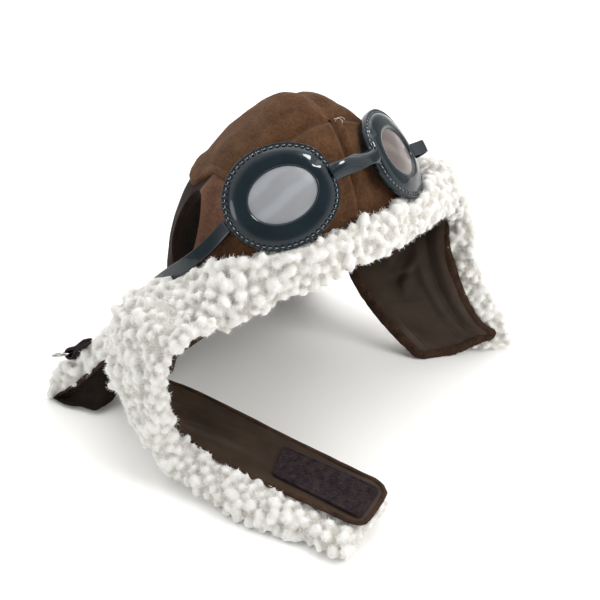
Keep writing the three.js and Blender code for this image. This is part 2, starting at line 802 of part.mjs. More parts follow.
function tabGeometry(surface) {
  const { along, out, wide, at } = tabFrame(surface);
  const loop = new THREE.Shape();
  loop.moveTo(-TAB.length, 0);
  loop.lineTo(0, 0);
  loop.absarc(0, TAB.fold, TAB.fold, -Math.PI / 2, Math.PI / 2, false);
  loop.lineTo(-TAB.length, 2 * TAB.fold);
  loop.lineTo(-TAB.length, 0);
  const hole = new THREE.Path();
  hole.absarc(0, TAB.fold, TAB.eye, 0, Math.PI * 2, true);
  loop.holes.push(hole);
  const geometry = new THREE.ExtrudeGeometry(loop, { depth: TAB.width, bevelEnabled: false, curveSegments: 7 });
  geometry.translate(0, 0, -TAB.width / 2);
  geometry.applyMatrix4(new THREE.Matrix4().makeBasis(along, out, wide));
  return geometry.translate(at.x, at.y, at.z);
}

function wireRingGeometry(surface) {
  const { along, out, wide, at } = tabFrame(surface);
  const flat = along.clone().addScaledVector(out, RING.lift).normalize();
  const normal = flat.clone().cross(wide);
  const centre = at.clone().addScaledVector(out, TAB.fold).addScaledVector(flat, RING.radius);
  return ringGeometry((t, s) => {
    const a = 2 * Math.PI * t;
    const b = 2 * Math.PI * s;
    const radial = flat.clone().multiplyScalar(Math.cos(a)).addScaledVector(wide, Math.sin(a));
    return centre.clone()
      .addScaledVector(radial, RING.radius + RING.wire * Math.cos(b))
      .addScaledVector(normal, RING.wire * Math.sin(b));
  }, 22, 6);
}

// Materials

const finish = (color, roughness, metalness = 0) => (
  new THREE.MeshStandardMaterial({ color, roughness, metalness })
);
const WOOL = finish(0x5a3620, 0.95);
const SUEDE = finish(0x63402b, 0.9);
const SHERPA = finish(0xefece6, 1.0);
const LINING = finish(0x2b211c, 0.45);
const LOOP = finish(0x261a20, 1.0);
const VINYL = finish(0x101920, 0.15);
const LENS = finish(0x8f8c8c, 0.25);
const STEEL = finish(0xc8c8c8, 0.2, 1.0);

// Assembly

const hat = new THREE.Group();

function add(name, geometry, material) {
  const mesh = new THREE.Mesh(facingOut(geometry), material);
  mesh.name = name;
  hat.add(mesh);
  return mesh;
}

const CROWN_CLEAR = crownKeepOut(CROWN.puff / 2 + GAP);
const BAND_CLEAR = bandGeometry(GAP);
const BROW_CLEAR = browGeometry(GAP);

const SIDES = [
  { word: 'right', sign: -1 },
  { word: 'left', sign: 1 },
];
for (const { word, sign } of SIDES) {
  const notch = sideWedge(sign, 0);
  const front = sign < 0 ? [-90, 0] : [0, 90];
  const back = sign < 0 ? [-180, -90] : [90, 180];
  add(`crown_gore_front_${word}`, cutAway(goreGeometry(...front), notch), WOOL);
  add(`crown_gore_back_${word}`, cutAway(goreGeometry(...back), notch), WOOL);
  const panel = cutAway(panelGeometry(sign), earHoleTool(sign));
  add(`ear_panel_${word}`, keepWithin(panel, sideWedge(sign, SEAM)), SUEDE);
  add(`goggle_frame_${word}`, frameGeometry(sign), VINYL);
  const lens = ovalPlate(sign, GOGGLE.lensLong - GAP, GOGGLE.lensShort - GAP, -0.5, -0.5 + GOGGLE.lens);
  add(`goggle_lens_${word}`, lens, LENS);
}
add('goggle_bridge', bridgeGeometry(), VINYL);
add('goggle_band', bandGeometry(0), VINYL);

const goggleClear = SIDES.map(({ sign }) => (
  ovalPlate(sign, GOGGLE.rimLong + GAP, GOGGLE.rimShort + 1.6, -2.8 - GAP, 2.5 + GAP)
));
const brow = cutAway(browGeometry(0), CROWN_CLEAR, BAND_CLEAR, ...goggleClear);
add('brow_trim', brow, SHERPA);

const strap = ribbonSurface(STRAP_ROWS, -1, 1.5);
const flap = ribbonSurface(FLAP_ROWS, 1, 2);
const nape = napeSurface();

const STRAP_CUT = { rows: 33, cols: 8, fromV: 0.08, toV: 1, fromU: -0.42, toU: 1.1, width: 36, length: 200, curl: 0.62 };
const FLAP_CUT = { rows: 17, cols: 8, fromV: 0.12, toV: 1, fromU: -0.3, toU: 1.08, width: 48, length: 95, curl: 0.4 };
const NAPE_CUT = { rows: 10, cols: 24, fromV: 0, toV: 1, fromU: 0, toU: 1, width: 210, length: 92, curl: 0 };

const napePile = pileGeometry(nape, NAPE_CUT);
add('nape_pile', cutAway(napePile, CROWN_CLEAR, BAND_CLEAR, BROW_CLEAR), SHERPA);
const napeClear = pileGeometry(nape, { ...NAPE_CUT, grow: GAP });
add('strap_pile', cutAway(pileGeometry(strap, STRAP_CUT), BROW_CLEAR, napeClear), SHERPA);
add('flap_pile', cutAway(pileGeometry(flap, FLAP_CUT), BROW_CLEAR, napeClear), SHERPA);

const strapLining = liningGeometry(strap, { rows: 28, cols: 3, fromV: 0, toV: 1 });
const flapLining = liningGeometry(flap, { rows: 15, cols: 5, fromV: 0, toV: 1 });
const napeLining = liningGeometry(nape, { rows: 8, cols: 18, fromV: 0, toV: 1 });
add('strap_lining', cutAway(strapLining, CROWN_CLEAR, BROW_CLEAR), LINING);
add('flap_lining', cutAway(flapLining, CROWN_CLEAR, BROW_CLEAR), LINING);
add('nape_lining', cutAway(napeLining, CROWN_CLEAR), LINING);
add('strap_loop_pad', padGeometry(strap), LOOP);

add('ring_tab', cutAway(tabGeometry(nape), napeClear), SUEDE);
add('ring', wireRingGeometry(nape), STEEL);

// The origin is the middle of the base of the hat's box.
const box = new THREE.Box3().setFromObject(hat);
const middle = box.getCenter(new THREE.Vector3());
for (const mesh of hat.children) mesh.geometry.translate(-middle.x, -middle.y, -box.min.z);

export default hat;
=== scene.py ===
# %% [markdown]
# # A small aviator hat with goggles
#
# This lesson dresses a finished solid model of a hat. The hat has a brown wool crown, suede
# round the ear openings, goggles of patent vinyl, and a rolled edge of curly off-white pile.
# It stands on a long strap, a short flap and a nape flap. The solid model gives every size,
# and each cell below makes one piece of what the eye sees.

import json
import math

import bmesh
import bpy
import numpy as np
from mathutils import Matrix, Vector, noise
from mathutils.bvhtree import BVHTree
from mathutils.kdtree import KDTree

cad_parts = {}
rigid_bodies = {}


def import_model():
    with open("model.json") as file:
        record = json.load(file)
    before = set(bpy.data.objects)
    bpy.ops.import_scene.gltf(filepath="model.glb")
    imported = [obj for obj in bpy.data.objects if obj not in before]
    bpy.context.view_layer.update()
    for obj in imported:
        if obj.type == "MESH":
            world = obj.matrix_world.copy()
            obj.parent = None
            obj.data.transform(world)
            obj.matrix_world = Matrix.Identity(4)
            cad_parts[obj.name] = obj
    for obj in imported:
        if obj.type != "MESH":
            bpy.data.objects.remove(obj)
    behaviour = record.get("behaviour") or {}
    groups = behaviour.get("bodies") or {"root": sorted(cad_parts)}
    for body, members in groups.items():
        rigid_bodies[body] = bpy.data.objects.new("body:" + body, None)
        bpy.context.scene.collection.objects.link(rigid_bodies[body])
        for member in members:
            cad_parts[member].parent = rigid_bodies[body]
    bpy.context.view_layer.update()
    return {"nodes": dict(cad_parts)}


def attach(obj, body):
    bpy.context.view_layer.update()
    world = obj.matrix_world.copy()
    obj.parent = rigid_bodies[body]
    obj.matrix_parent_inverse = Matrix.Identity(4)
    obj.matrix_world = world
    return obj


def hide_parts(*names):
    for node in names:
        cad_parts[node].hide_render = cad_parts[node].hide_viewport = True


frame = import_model()
MM = 0.001
# The tables below are in millimetres from the place where the hat was drawn. The solid model
# was then moved by SHIFT, so that the middle of its base is the origin.
SHIFT = Vector((-1.16, -0.94, 0.0))

# %% [markdown]
# ## Camera, floor and light
#
# The hat is seen from above its right front corner, from about half a metre away. A camera
# could be placed by eye, but here its place was worked out from the goggles and the strap,
# so that every piece lines up. The light comes from a bright white room. Three soft lamps
# shape the form and a fourth shows only as glints on glossy pieces. A white room alone
# would fill every hollow, so it has three dimmer patches that keep some shade.

# %% Camera
camera_data = bpy.data.cameras.new("camera")
camera_data.lens = 60.0
camera_data.sensor_width = 36.0
camera = bpy.data.objects.new("camera", camera_data)
camera.location = (Vector((-310.9, -341.8, 350.0)) + SHIFT) * MM
camera.rotation_euler = (math.radians(58), 0.0, math.radians(-41))
bpy.context.collection.objects.link(camera)
bpy.context.scene.camera = camera
print("camera at", tuple(round(x, 3) for x in camera.location))


# %% Lamps, in metres and watts
def area_lamp(name, place, aim_height, size, watts, color):
    """A round lamp that looks at a height above the middle of the floor."""
    data = bpy.data.lights.new(name, "AREA")
    data.shape = "DISK"
    data.size = size
    data.energy = watts
    data.color = color
    lamp = bpy.data.objects.new(name, data)
    lamp.location = place
    aim = Vector((0.0, 0.0, aim_height)) - Vector(place)
    lamp.rotation_euler = aim.to_track_quat("-Z", "Y").to_euler()
    bpy.context.collection.objects.link(lamp)
    return lamp


area_lamp("ceiling_lamp", (0.45, 0.32, 1.10), 0.06, 1.10, 4.0, (1.0, 0.99, 0.975))
area_lamp("window_lamp", (-0.95, -0.05, 0.50), 0.10, 0.35, 1.2, (0.95, 0.98, 1.0))
glint_lamp = area_lamp("glint_lamp", (0.25, -0.50, 1.19), 0.14, 0.30, 7.0, (0.97, 0.99, 1.0))
glint_lamp.visible_diffuse = False
front_fill = area_lamp("front_fill", (0.35, -0.80, 0.66), 0.02, 0.6, 5.6, (1.0, 0.99, 0.98))
front_fill.visible_glossy = False


# %% Helpers for nodes and for a plain material
def set_inputs(node, values):
    for socket, value in values.items():
        node.inputs[socket].default_value = value


def add_node(tree, kind, values=None, **settings):
    """Adds a node with its own settings and then the values of its inputs."""
    node = tree.nodes.new(kind)
    for key, value in settings.items():
        setattr(node, key, value)
    set_inputs(node, values or {})
    return node


def join_nodes(tree, *links):
    """Each link is a node and its output, then the node that it feeds and its input."""
    for source, output, target, socket in links:
        tree.links.new(source.outputs[output], target.inputs[socket])


def new_material(name, roughness, specular=0.5):
    material = bpy.data.materials.new(name)
    material.use_nodes = True
    shader = material.node_tree.nodes["Principled BSDF"]
    set_inputs(shader, {"Roughness": roughness, "Specular IOR Level": specular})
    return material, shader


# %% The white room, with dimmer patches behind the camera and at two sides
ROOM_STRENGTH = 1.55
# A patch is the way to it, the cosines where it starts and is full, and its share of the light
PATCHES = (
    ((-0.42, -0.66, 0.62), 0.58, 0.88, 0.24),
    ((1.0, 0.03, 0.10), 0.80, 0.95, 0.25),
    ((-0.76, 0.63, -0.05), 0.72, 0.93, 0.25),
)
world = bpy.data.worlds.new("white_room")
world.use_nodes = True
bpy.context.scene.world = world
room_tree = world.node_tree
room = room_tree.nodes["Background"]
room.inputs["Color"].default_value = (1.0, 1.0, 1.0, 1.0)
room_place = add_node(room_tree, "ShaderNodeTexCoord")
last_patch = None
for way, start, full, dim in PATCHES:
    facing = add_node(room_tree, "ShaderNodeVectorMath", {1: way}, operation="DOT_PRODUCT")
    dimmer = add_node(room_tree, "ShaderNodeMapRange",
                      {"From Min": start, "From Max": full, "To Min": 1.0, "To Max": dim},
                      interpolation_type="SMOOTHSTEP")
    patch = add_node(room_tree, "ShaderNodeMath", {1: ROOM_STRENGTH}, operation="MULTIPLY")
    join_nodes(room_tree, (room_place, "Generated", facing, 0), (facing, "Value", dimmer, "Value"),
               (dimmer, "Result", patch, 0))
    if last_patch:
        join_nodes(room_tree, (last_patch, 0, patch, 1))
    last_patch = patch
join_nodes(room_tree, (last_patch, 0, room, "Strength"))
bpy.context.scene.view_settings.view_transform = "Standard"
print("room with", len(PATCHES), "dimmer patches")

# %% Floor
bpy.ops.object.select_all(action="DESELECT")
bpy.ops.mesh.primitive_plane_add(size=6.0, location=(0, 0, -0.0002))
floor = bpy.context.object
floor.name = "floor"
floor_paint, floor_shader = new_material("floor_paint", 0.6, 0.2)
floor_shader.inputs["Base Color"].default_value = (0.93, 0.925, 0.905, 1.0)
floor.data.materials.append(floor_paint)
print("floor made")

# %% [markdown]
# ## Sizes and surfaces
#
# Cloth is easiest to shape as a grid that is bent to a surface. Each surface here is a small
# function of u, across, and v, along. The functions read short tables of real positions in
# millimetres, the same ones that the solid model uses, so cloth and solids stay together.


# %% Helpers for placing and bending grids
def lerp(a, b, t):
    return a + (b - a) * t


def smooth(x, low, high):
    t = min(max((x - low) / (high - low), 0.0), 1.0)
    return t * t * (3 - 2 * t)


def select_only(piece):
    bpy.ops.object.select_all(action="DESELECT")
    piece.select_set(True)
    bpy.context.view_layer.objects.active = piece


def apply_modifier(piece, kind, **settings):
    select_only(piece)
    modifier = piece.modifiers.new(kind.lower(), kind)
    for key, value in settings.items():
        setattr(modifier, key, value)
    bpy.ops.object.modifier_apply(modifier=modifier.name)


def count(piece):
    return sum(len(face.vertices) - 2 for face in piece.data.polygons)


def bent_grid(name, across, along, point, size):
    """A grid placed by point(u, v) in millimetres; its UV map is in millimetres too."""
    bpy.ops.object.select_all(action="DESELECT")
    bpy.ops.mesh.primitive_grid_add(x_subdivisions=across, y_subdivisions=along, size=1.0)
    piece = bpy.context.object
    piece.name = name
    for loop in piece.data.uv_layers.active.data:
        loop.uv = (loop.uv.x * size[0], loop.uv.y * size[1])
    for vertex in piece.data.vertices:
        vertex.co = (point(vertex.co.x + 0.5, vertex.co.y + 0.5) + SHIFT) * MM
    return piece


def face_towards(piece, outward):
    """Turns the faces of an open sheet so that they look the way outward(place) points."""
    mesh = piece.data
    score = sum(face.normal.dot(outward(face.center)) * face.area for face in mesh.polygons)
    if score < 0:
        mesh.flip_normals()


def merge_close(piece, distance=0.00001):
    select_only(piece)
    bpy.ops.object.mode_set(mode="EDIT")
    bpy.ops.mesh.select_all(action="SELECT")
    bpy.ops.mesh.remove_doubles(threshold=distance)
    bpy.ops.mesh.normals_make_consistent(inside=False)
    bpy.ops.object.mode_set(mode="OBJECT")


def finish_piece(piece, material, nodes=(), angle=40.0):
    """Gives a piece its material, smooth shading, its body and the nodes that it stands for."""
    piece.data.materials.clear()
    piece.data.materials.append(material)
    select_only(piece)
    bpy.ops.object.shade_smooth_by_angle(angle=math.radians(angle))
    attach(piece, "root")
    if nodes:
        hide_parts(*nodes)
    print(piece.name, count(piece), "triangles")
    return piece


# %% Curves through the rows of a table
def through(points, t):
    """A point of the centripetal Catmull-Rom curve through the points, at t from 0 to 1."""
    last = len(points) - 1
    at = min(max(t, 0.0), 1.0) * last
    k = min(int(at), last - 1)
    weight = at - k
    p1, p2 = points[k], points[k + 1]
    p0 = points[k - 1] if k > 0 else p1 * 2 - p2
    p3 = points[k + 2] if k + 2 <= last else p2 * 2 - p1
    d0 = max((p1 - p0).length, 1e-4) ** 0.5
    d1 = max((p2 - p1).length, 1e-4) ** 0.5
    d2 = max((p3 - p2).length, 1e-4) ** 0.5
    t1 = ((p1 - p0) / d0 - (p2 - p0) / (d0 + d1) + (p2 - p1) / d1) * d1
    t2 = ((p2 - p1) / d1 - (p3 - p1) / (d1 + d2) + (p3 - p2) / d2) * d1
    c2 = p1 * -3 + p2 * 3 - t1 * 2 - t2
    c3 = p1 * 2 - p2 * 2 + t1 + t2
    return p1 + t1 * weight + c2 * weight ** 2 + c3 * weight ** 3


def row_value(rows, name, t):
    """A column of a table at t from 0 to 1, straight from row to row."""
    last = len(rows) - 1
    k = min(int(min(max(t, 0.0), 1.0) * last), last - 1)
    return lerp(rows[k][name], rows[k + 1][name], min(max(t, 0.0), 1.0) * last - k)


def table(names, rows):
    """Rows of a table as dictionaries; a triple becomes a point."""
    return [
        {name: Vector(cell) if isinstance(cell, tuple) else cell for name, cell in zip(names, row)}
        for row in rows
    ]


# %% Where the strap, the short flap and the nape flap run, in millimetres
STRAP = table(("front", "rear"), [
    ((-66, -6, 90), (-68, 36, 80)),
    ((-80, -8, 87), (-80, 37, 80)),
    ((-92, -5, 80), (-90, 38, 76)),
    ((-97, 3, 69), (-95, 40, 64)),
    ((-98, 8, 57), (-96, 42, 52)),
    ((-98, 10, 45), (-94, 43, 41)),
    ((-97, 9, 34), (-88, 42, 32)),
    ((-97, 3, 25.5), (-79, 37, 25)),
    ((-95, -9, 20), (-70, 24, 20.5)),
    ((-90, -32, 17), (-61, -7, 18)),
    ((-84, -53, 16), (-55, -33, 17)),
    ((-78, -72, 15.5), (-50, -56, 17)),
    ((-72, -91, 15), (-45, -79, 17)),
    ((-68, -106, 15), (-41, -97, 17)),
])
FLAP = table(("front", "rear"), [
    ((66, -6, 90), (68, 44, 80)),
    ((82, -8, 88), (74, 48, 76)),
    ((93, -7, 80), (70, 48, 66)),
    ((89, -12, 68), (64, 44, 56)),
    ((88, -19, 55), (57, 33, 44)),
    ((90, -25, 41), (57, 18, 30)),
    ((95, -30, 27), (61, 4, 17)),
    ((101, -38, 13), (65, -10, 7)),
    ((104, -42, 3.5), (68, -18, 1.6)),
])
NAPE = table(("right", "middle", "left", "corner"), [
    ((-68, 42, 67), (0, 81, 62), (64, 52, 67), 1.2),
    ((-78, 47, 60), (-2, 83, 52), (67, 58, 57), 1.8),
    ((-86, 53, 50), (-5, 85, 43), (70, 66, 48), 2.4),
    ((-91, 60, 39), (-9, 88, 33), (72, 74, 38), 3.0),
    ((-99, 72, 25), (-13, 93, 22), (74, 82, 24), 3.2),
    ((-110, 84, 10), (-17, 98, 10), (76, 89, 10), 3.2),
    ((-119, 93, 0.6), (-19, 102, 0.6), (77, 94, 0.6), 3.2),
])


def ribbon(rows, side, bow):
    """The surface between a ribbon's two edges, and the way that its outer face looks."""
    front = [row["front"] for row in rows]
    rear = [row["rear"] for row in rows]

    def surface(u, v):
        a, b = through(front, v), through(rear, v)
        along = (through(front, v + 0.02) - through(front, v - 0.02)).normalized()
        out = along.cross((b - a).normalized()).normalized() * side
        return a.lerp(b, u) + out * bow * (1 - (2 * min(max(u, 0), 1) - 1) ** 2), out

    return surface


def nape_point(u, v):
    a = through([row["right"] for row in NAPE], v)
    m = through([row["middle"] for row in NAPE], v)
    b = through([row["left"] for row in NAPE], v)
    turn = math.pi * (u - 0.5) * 0.98
    side = a if u < 0.5 else b
    bulge = max(math.cos(turn), 0.0) ** row_value(NAPE, "corner", v)
    x = (a.x + b.x) / 2 + (b.x - a.x) / 2 * math.sin(turn)
    return Vector((x, lerp(side.y, m.y, bulge), lerp(side.z, m.z, bulge)))


def nape(u, v):
    du = nape_point(u + 0.01, v) - nape_point(u - 0.01, v)
    dv = nape_point(u, min(v + 0.01, 1)) - nape_point(u, max(v - 0.01, 0))
    return nape_point(u, v), du.cross(dv).normalized()


strap = ribbon(STRAP, -1, 1.5)
flap = ribbon(FLAP, 1, 2)
print("strap end", tuple(round(x) for x in strap(0.5, 1.0)[0]))

# %% The crown's form, in millimetres
CENTRE = Vector((0.0, 18.0, 82.0))
HALF_WIDTH, HALF_FRONT, HALF_BACK, HEIGHT = 71.0, 56.0, 65.0, 92.0
PLAN_POWER, PROFILE_POWER = 2.15, 1.68
SIDE_RIM, PANEL_FROM, PANEL_TO = 142.0, 77.0, 140.0


def dome(direction, offset=0.0):
    """The crown's surface in a direction from its centre, moved out by offset."""
    half = HALF_FRONT if direction.y < 0 else HALF_BACK
    plan = abs(direction.x / HALF_WIDTH) ** PLAN_POWER + abs(direction.y / half) ** PLAN_POWER
    plan = plan ** (1 / PLAN_POWER)
    rise = abs(direction.z / HEIGHT)
    reach = (plan ** PROFILE_POWER + rise ** PROFILE_POWER) ** (-1 / PROFILE_POWER)
    return CENTRE + direction * (reach + offset)


def towards(degrees, z):
    """The direction from the centre that meets the crown at that height."""
    a = math.radians(degrees)
    low, high = -0.6, 1.5
    for _ in range(24):
        lift = (low + high) / 2
        d = Vector((math.sin(a) * math.cos(lift), -math.cos(a) * math.cos(lift), math.sin(lift)))
        if dome(d).z < z:
            low = lift
        else:
            high = lift
    return d


def rim_height(degrees):
    """The height of the crown's rim, at so many degrees round from the brow."""
    return lerp(108.0, 64.0, smooth(abs(degrees), 40, 150))


APEX_X, APEX_Y = 6.5, -18.0
APEX_Z = HEIGHT * (1 - (-APEX_Y / HALF_FRONT) ** PROFILE_POWER) ** (1 / PROFILE_POWER)
APEX = Vector((APEX_X, APEX_Y, APEX_Z)).normalized()
print("top of the seams", tuple(round(x) for x in dome(APEX)))

# %% [markdown]
# ## Finishes
#
# Wool, suede, hems and the loop pad all share one thing: a speckle of lighter and darker
# fibres with a small bump. It could be drawn anew for each, but one node group with its own
# scale serves them all, so each cloth only sets how coarse it is. Colours follow the real
# cloths: warm brown wool and redder suede.


# %% The shared fibre speckle
def fibre_group():
    tree = bpy.data.node_groups.new("fibre_speckle", "ShaderNodeTree")
    for name, way, kind in (
            ("Scale", "INPUT", "Float"), ("Dark", "INPUT", "Color"), ("Light", "INPUT", "Color"),
            ("Color", "OUTPUT", "Color"), ("Height", "OUTPUT", "Float")):
        tree.interface.new_socket(name, in_out=way, socket_type=f"NodeSocket{kind}")
    given, result = add_node(tree, "NodeGroupInput"), add_node(tree, "NodeGroupOutput")
    place = add_node(tree, "ShaderNodeTexCoord")
    fine = add_node(tree, "ShaderNodeTexNoise", {"Detail": 3.0, "Roughness": 0.65, "Distortion": 0.6})
    slower = add_node(tree, "ShaderNodeMath", {1: 0.16}, operation="MULTIPLY")
    broad = add_node(tree, "ShaderNodeTexNoise", {"Detail": 2.0})
    both = add_node(tree, "ShaderNodeMix", {"Factor": 0.42})
    spread = add_node(tree, "ShaderNodeMapRange", {"From Min": 0.36, "From Max": 0.64})
    tint = add_node(tree, "ShaderNodeMix", data_type="RGBA")
    join_nodes(
        tree, (place, "Object", fine, "Vector"), (given, "Scale", fine, "Scale"),
        (given, "Scale", slower, 0), (place, "Object", broad, "Vector"), (slower, 0, broad, "Scale"),
        (fine, "Fac", both, "A"), (broad, "Fac", both, "B"), (both, "Result", spread, "Value"),
        (spread, "Result", tint, "Factor"), (given, "Dark", tint, "A"), (given, "Light", tint, "B"),
        (tint, "Result", result, "Color"), (both, "Result", result, "Height"))
    return tree


FIBRES = fibre_group()
print("group", FIBRES.name)


# %% Cloths made from the speckle
def fibre_cloth(name, scale, dark, light, roughness, bump, distance, sheen, sheen_tint):
    """Cloth with fibres between two tones; bump and distance in metres set its relief."""
    material, shader = new_material(name, roughness, 0.15)
    tree = material.node_tree
    speckle = add_node(tree, "ShaderNodeGroup",
                       {"Scale": scale, "Dark": (*dark, 1.0), "Light": (*light, 1.0)}, node_tree=FIBRES)
    relief = add_node(tree, "ShaderNodeBump", {"Strength": bump, "Distance": distance})
    join_nodes(tree, (speckle, "Color", shader, "Base Color"), (speckle, "Height", relief, "Height"),
               (relief, "Normal", shader, "Normal"))
    set_inputs(shader, {"Sheen Weight": sheen, "Sheen Roughness": 0.45, "Sheen Tint": (*sheen_tint, 1.0)})
    return material


wool = fibre_cloth("wool", 760, (0.044, 0.0195, 0.0085), (0.103, 0.0485, 0.0215),
                   0.95, 0.9, 0.0011, 0.10, (0.75, 0.55, 0.42))
suede = fibre_cloth("suede", 900, (0.074, 0.034, 0.021), (0.138, 0.067, 0.042),
                    0.9, 0.5, 0.0006, 0.16, (0.85, 0.62, 0.5))
# A near-black copy of the suede, which is painted shade for the ear opening's lip and the suede behind it.
suede_painted_shade = fibre_cloth("suede_painted_shade", 900, (0.007, 0.0035, 0.0025), (0.022, 0.0105, 0.0072),
                         0.9, 0.5, 0.0006, 0.02, (0.8, 0.55, 0.45))
hem_suede = fibre_cloth("hem_suede", 1100, (0.014, 0.0078, 0.0055), (0.058, 0.029, 0.0165),
                        0.9, 0.7, 0.0007, 0.1, (0.8, 0.5, 0.35))
loop_pile = fibre_cloth("loop_pile", 1700, (0.0040, 0.0026, 0.0032), (0.046, 0.030, 0.033),
                        0.95, 1.0, 0.0012, 0.06, (0.6, 0.5, 0.55))
# A near-black backing cloth. Part of its darkness is painted shade, for the inside of the crown and under the
# nape flap's corner.
backing_painted_shade = fibre_cloth("backing_painted_shade", 700, (0.0045, 0.0028, 0.0020), (0.016, 0.0105, 0.0075),
                          0.95, 0.5, 0.0006, 0.0, (1.0, 1.0, 1.0))
print("cloths", [m.name for m in (wool, suede, suede_painted_shade, hem_suede, loop_pile, backing_painted_shade)])


# %% [markdown]
# ### Curly pile
#
# Curly pile is bright where the curls catch the light and cream deep down between them. That
# cream is painted shade: the height of each point above the backing and how deep it lies in a
# hollow are kept on the mesh as an attribute called rise, and the colour is darker where rise
# is low, so the painted shade stays in the hollows from every side. A little light also passes
# through it.

# %% The pile's finish
def set_stops(ramp, *stops):
    """Gives a colour ramp its stops, as (position, colour); it already has the first two."""
    elements = ramp.color_ramp.elements
    for index, (position, color) in enumerate(stops):
        stop = elements[index] if index < 2 else elements.new(position)
        stop.position = position
        stop.color = (*color, 1.0)


pile_white, pile_shader = new_material("pile_white", 0.9, 0.15)
pile_tree = pile_white.node_tree
rise = add_node(pile_tree, "ShaderNodeAttribute", attribute_name="rise")
# This ramp paints shade: darker cream where rise is low, in the hollows between the curls.
hollow_shade_ramp = add_node(pile_tree, "ShaderNodeValToRGB")
set_stops(hollow_shade_ramp, (0.0, (0.43, 0.40, 0.35)), (0.85, (0.75, 0.743, 0.722)), (0.45, (0.665, 0.650, 0.615)))
curl_place = add_node(pile_tree, "ShaderNodeTexCoord")
curl_noise = add_node(pile_tree, "ShaderNodeTexNoise", {"Scale": 850, "Detail": 4.0, "Distortion": 1.2})
curl_bump = add_node(pile_tree, "ShaderNodeBump", {"Strength": 0.6, "Distance": 0.0012})
join_nodes(
    pile_tree, (rise, "Fac", hollow_shade_ramp, "Fac"), (hollow_shade_ramp, "Color", pile_shader, "Base Color"),
    (curl_place, "Object", curl_noise, "Vector"), (curl_noise, "Fac", curl_bump, "Height"),
    (curl_bump, "Normal", pile_shader, "Normal"))
set_inputs(pile_shader, {"Sheen Weight": 0.25, "Subsurface Weight": 0.45,
                         "Subsurface Radius": (1.0, 0.9, 0.75), "Subsurface Scale": 0.0032})


# %% Two finishes whose colour wanders: single fibres of pile, and bright wire
def wandering_finish(name, roughness, specular, metallic, scale, dark, light):
    material, shader = new_material(name, roughness, specular)
    shader.inputs["Metallic"].default_value = metallic
    tree = material.node_tree
    place = add_node(tree, "ShaderNodeTexCoord")
    cloud = add_node(tree, "ShaderNodeTexNoise", {"Scale": scale})
    ramp = add_node(tree, "ShaderNodeValToRGB")
    set_stops(ramp, (0.0, dark), (1.0, light))
    join_nodes(tree, (place, "Object", cloud, "Vector"), (cloud, "Fac", ramp, "Fac"),
               (ramp, "Color", shader, "Base Color"))
    return material


pile_fibre = wandering_finish("pile_fibre", 0.8, 0.1, 0.0, 300, (0.79, 0.77, 0.73), (0.90, 0.89, 0.87))
wire = wandering_finish("bright_wire", 0.16, 0.5, 1.0, 400, (0.16, 0.16, 0.16), (0.50, 0.50, 0.49))
print("pile and wire finishes made")


# %% [markdown]
# ### Vinyl, lens film and satin
#
# Patent vinyl is nearly black with a hint of blue and a hard clear gloss. The lenses are grey
# film with soft lighter bands, which are painted reflections. The lining is a thin satin with a
# weak broad shine.

# %% Patent vinyl and its thread
def tint_and_bump(tree, shader, cloud, dark, light, relief, strength, distance):
    """Colours a finish between two tones by one texture and raises it by another."""
    tint = add_node(tree, "ShaderNodeMix", {"A": (*dark, 1.0), "B": (*light, 1.0)}, data_type="RGBA")
    bump = add_node(tree, "ShaderNodeBump", {"Strength": strength, "Distance": distance})
    join_nodes(tree, (cloud, "Fac", tint, "Factor"), (tint, "Result", shader, "Base Color"),
               (relief, "Fac", bump, "Height"), (bump, "Normal", shader, "Normal"))


vinyl, vinyl_shader = new_material("patent_vinyl", 0.2, 0.10)
vinyl_place = add_node(vinyl.node_tree, "ShaderNodeTexCoord")
vinyl_cloud = add_node(vinyl.node_tree, "ShaderNodeTexNoise", {"Scale": 90, "Detail": 1.5})
join_nodes(vinyl.node_tree, (vinyl_place, "Object", vinyl_cloud, "Vector"))
tint_and_bump(vinyl.node_tree, vinyl_shader, vinyl_cloud, (0.0018, 0.0055, 0.0085), (0.0060, 0.0160, 0.0220),
              vinyl_cloud, 0.25, 0.002)
set_inputs(vinyl_shader, {"Coat Weight": 0.55, "Coat Roughness": 0.04})
# The thread's grey is lighter than the dark thread itself; that extra lightness is painted highlight for the
# glints on the stitches, and its gloss is real.
thread, thread_shader = new_material("thread_painted_highlight", 0.18, 0.9)
set_inputs(thread_shader, {"Base Color": (0.20, 0.22, 0.25, 1.0), "Coat Weight": 1.0})
print("vinyl made")

# %% Lens film, with its painted reflection band and its sway, in metres
REFLECTION_BAND, REFLECTION_SWAY = 0.0062, 0.006


def lens_film(name, dark, light, across, middle):
    """Film with soft lighter bands of painted reflection that repeat along across; middle is the first one's
    place.
    """
    material, shader = new_material(name, 0.3, 0.4)
    tree = material.node_tree
    place = add_node(tree, "ShaderNodeTexCoord")
    distance = add_node(tree, "ShaderNodeVectorMath", {1: tuple(across)}, operation="DOT_PRODUCT")
    waver = add_node(tree, "ShaderNodeTexNoise", {"Scale": 60, "Detail": 2.0})
    sway = add_node(tree, "ShaderNodeMath", {1: REFLECTION_SWAY}, operation="MULTIPLY_ADD")
    start = add_node(tree, "ShaderNodeMath", {1: middle}, operation="SUBTRACT")
    reflection_bands = add_node(tree, "ShaderNodeMath", {1: REFLECTION_BAND}, operation="PINGPONG")
    share = add_node(tree, "ShaderNodeMath", {1: REFLECTION_BAND}, operation="DIVIDE")
    tint = add_node(tree, "ShaderNodeValToRGB")
    tint.color_ramp.interpolation = "EASE"
    set_stops(tint, (0.15, light), (0.62, dark))
    join_nodes(
        tree, (place, "Object", distance, 0), (place, "Object", waver, "Vector"),
        (waver, "Fac", sway, 0), (distance, "Value", sway, 2), (sway, 0, start, 0),
        (start, 0, reflection_bands, 0), (reflection_bands, 0, share, 0), (share, 0, tint, "Fac"),
        (tint, "Color", shader, "Base Color"))
    set_inputs(shader, {"Coat Weight": 0.3, "Coat Roughness": 0.1})
    return material


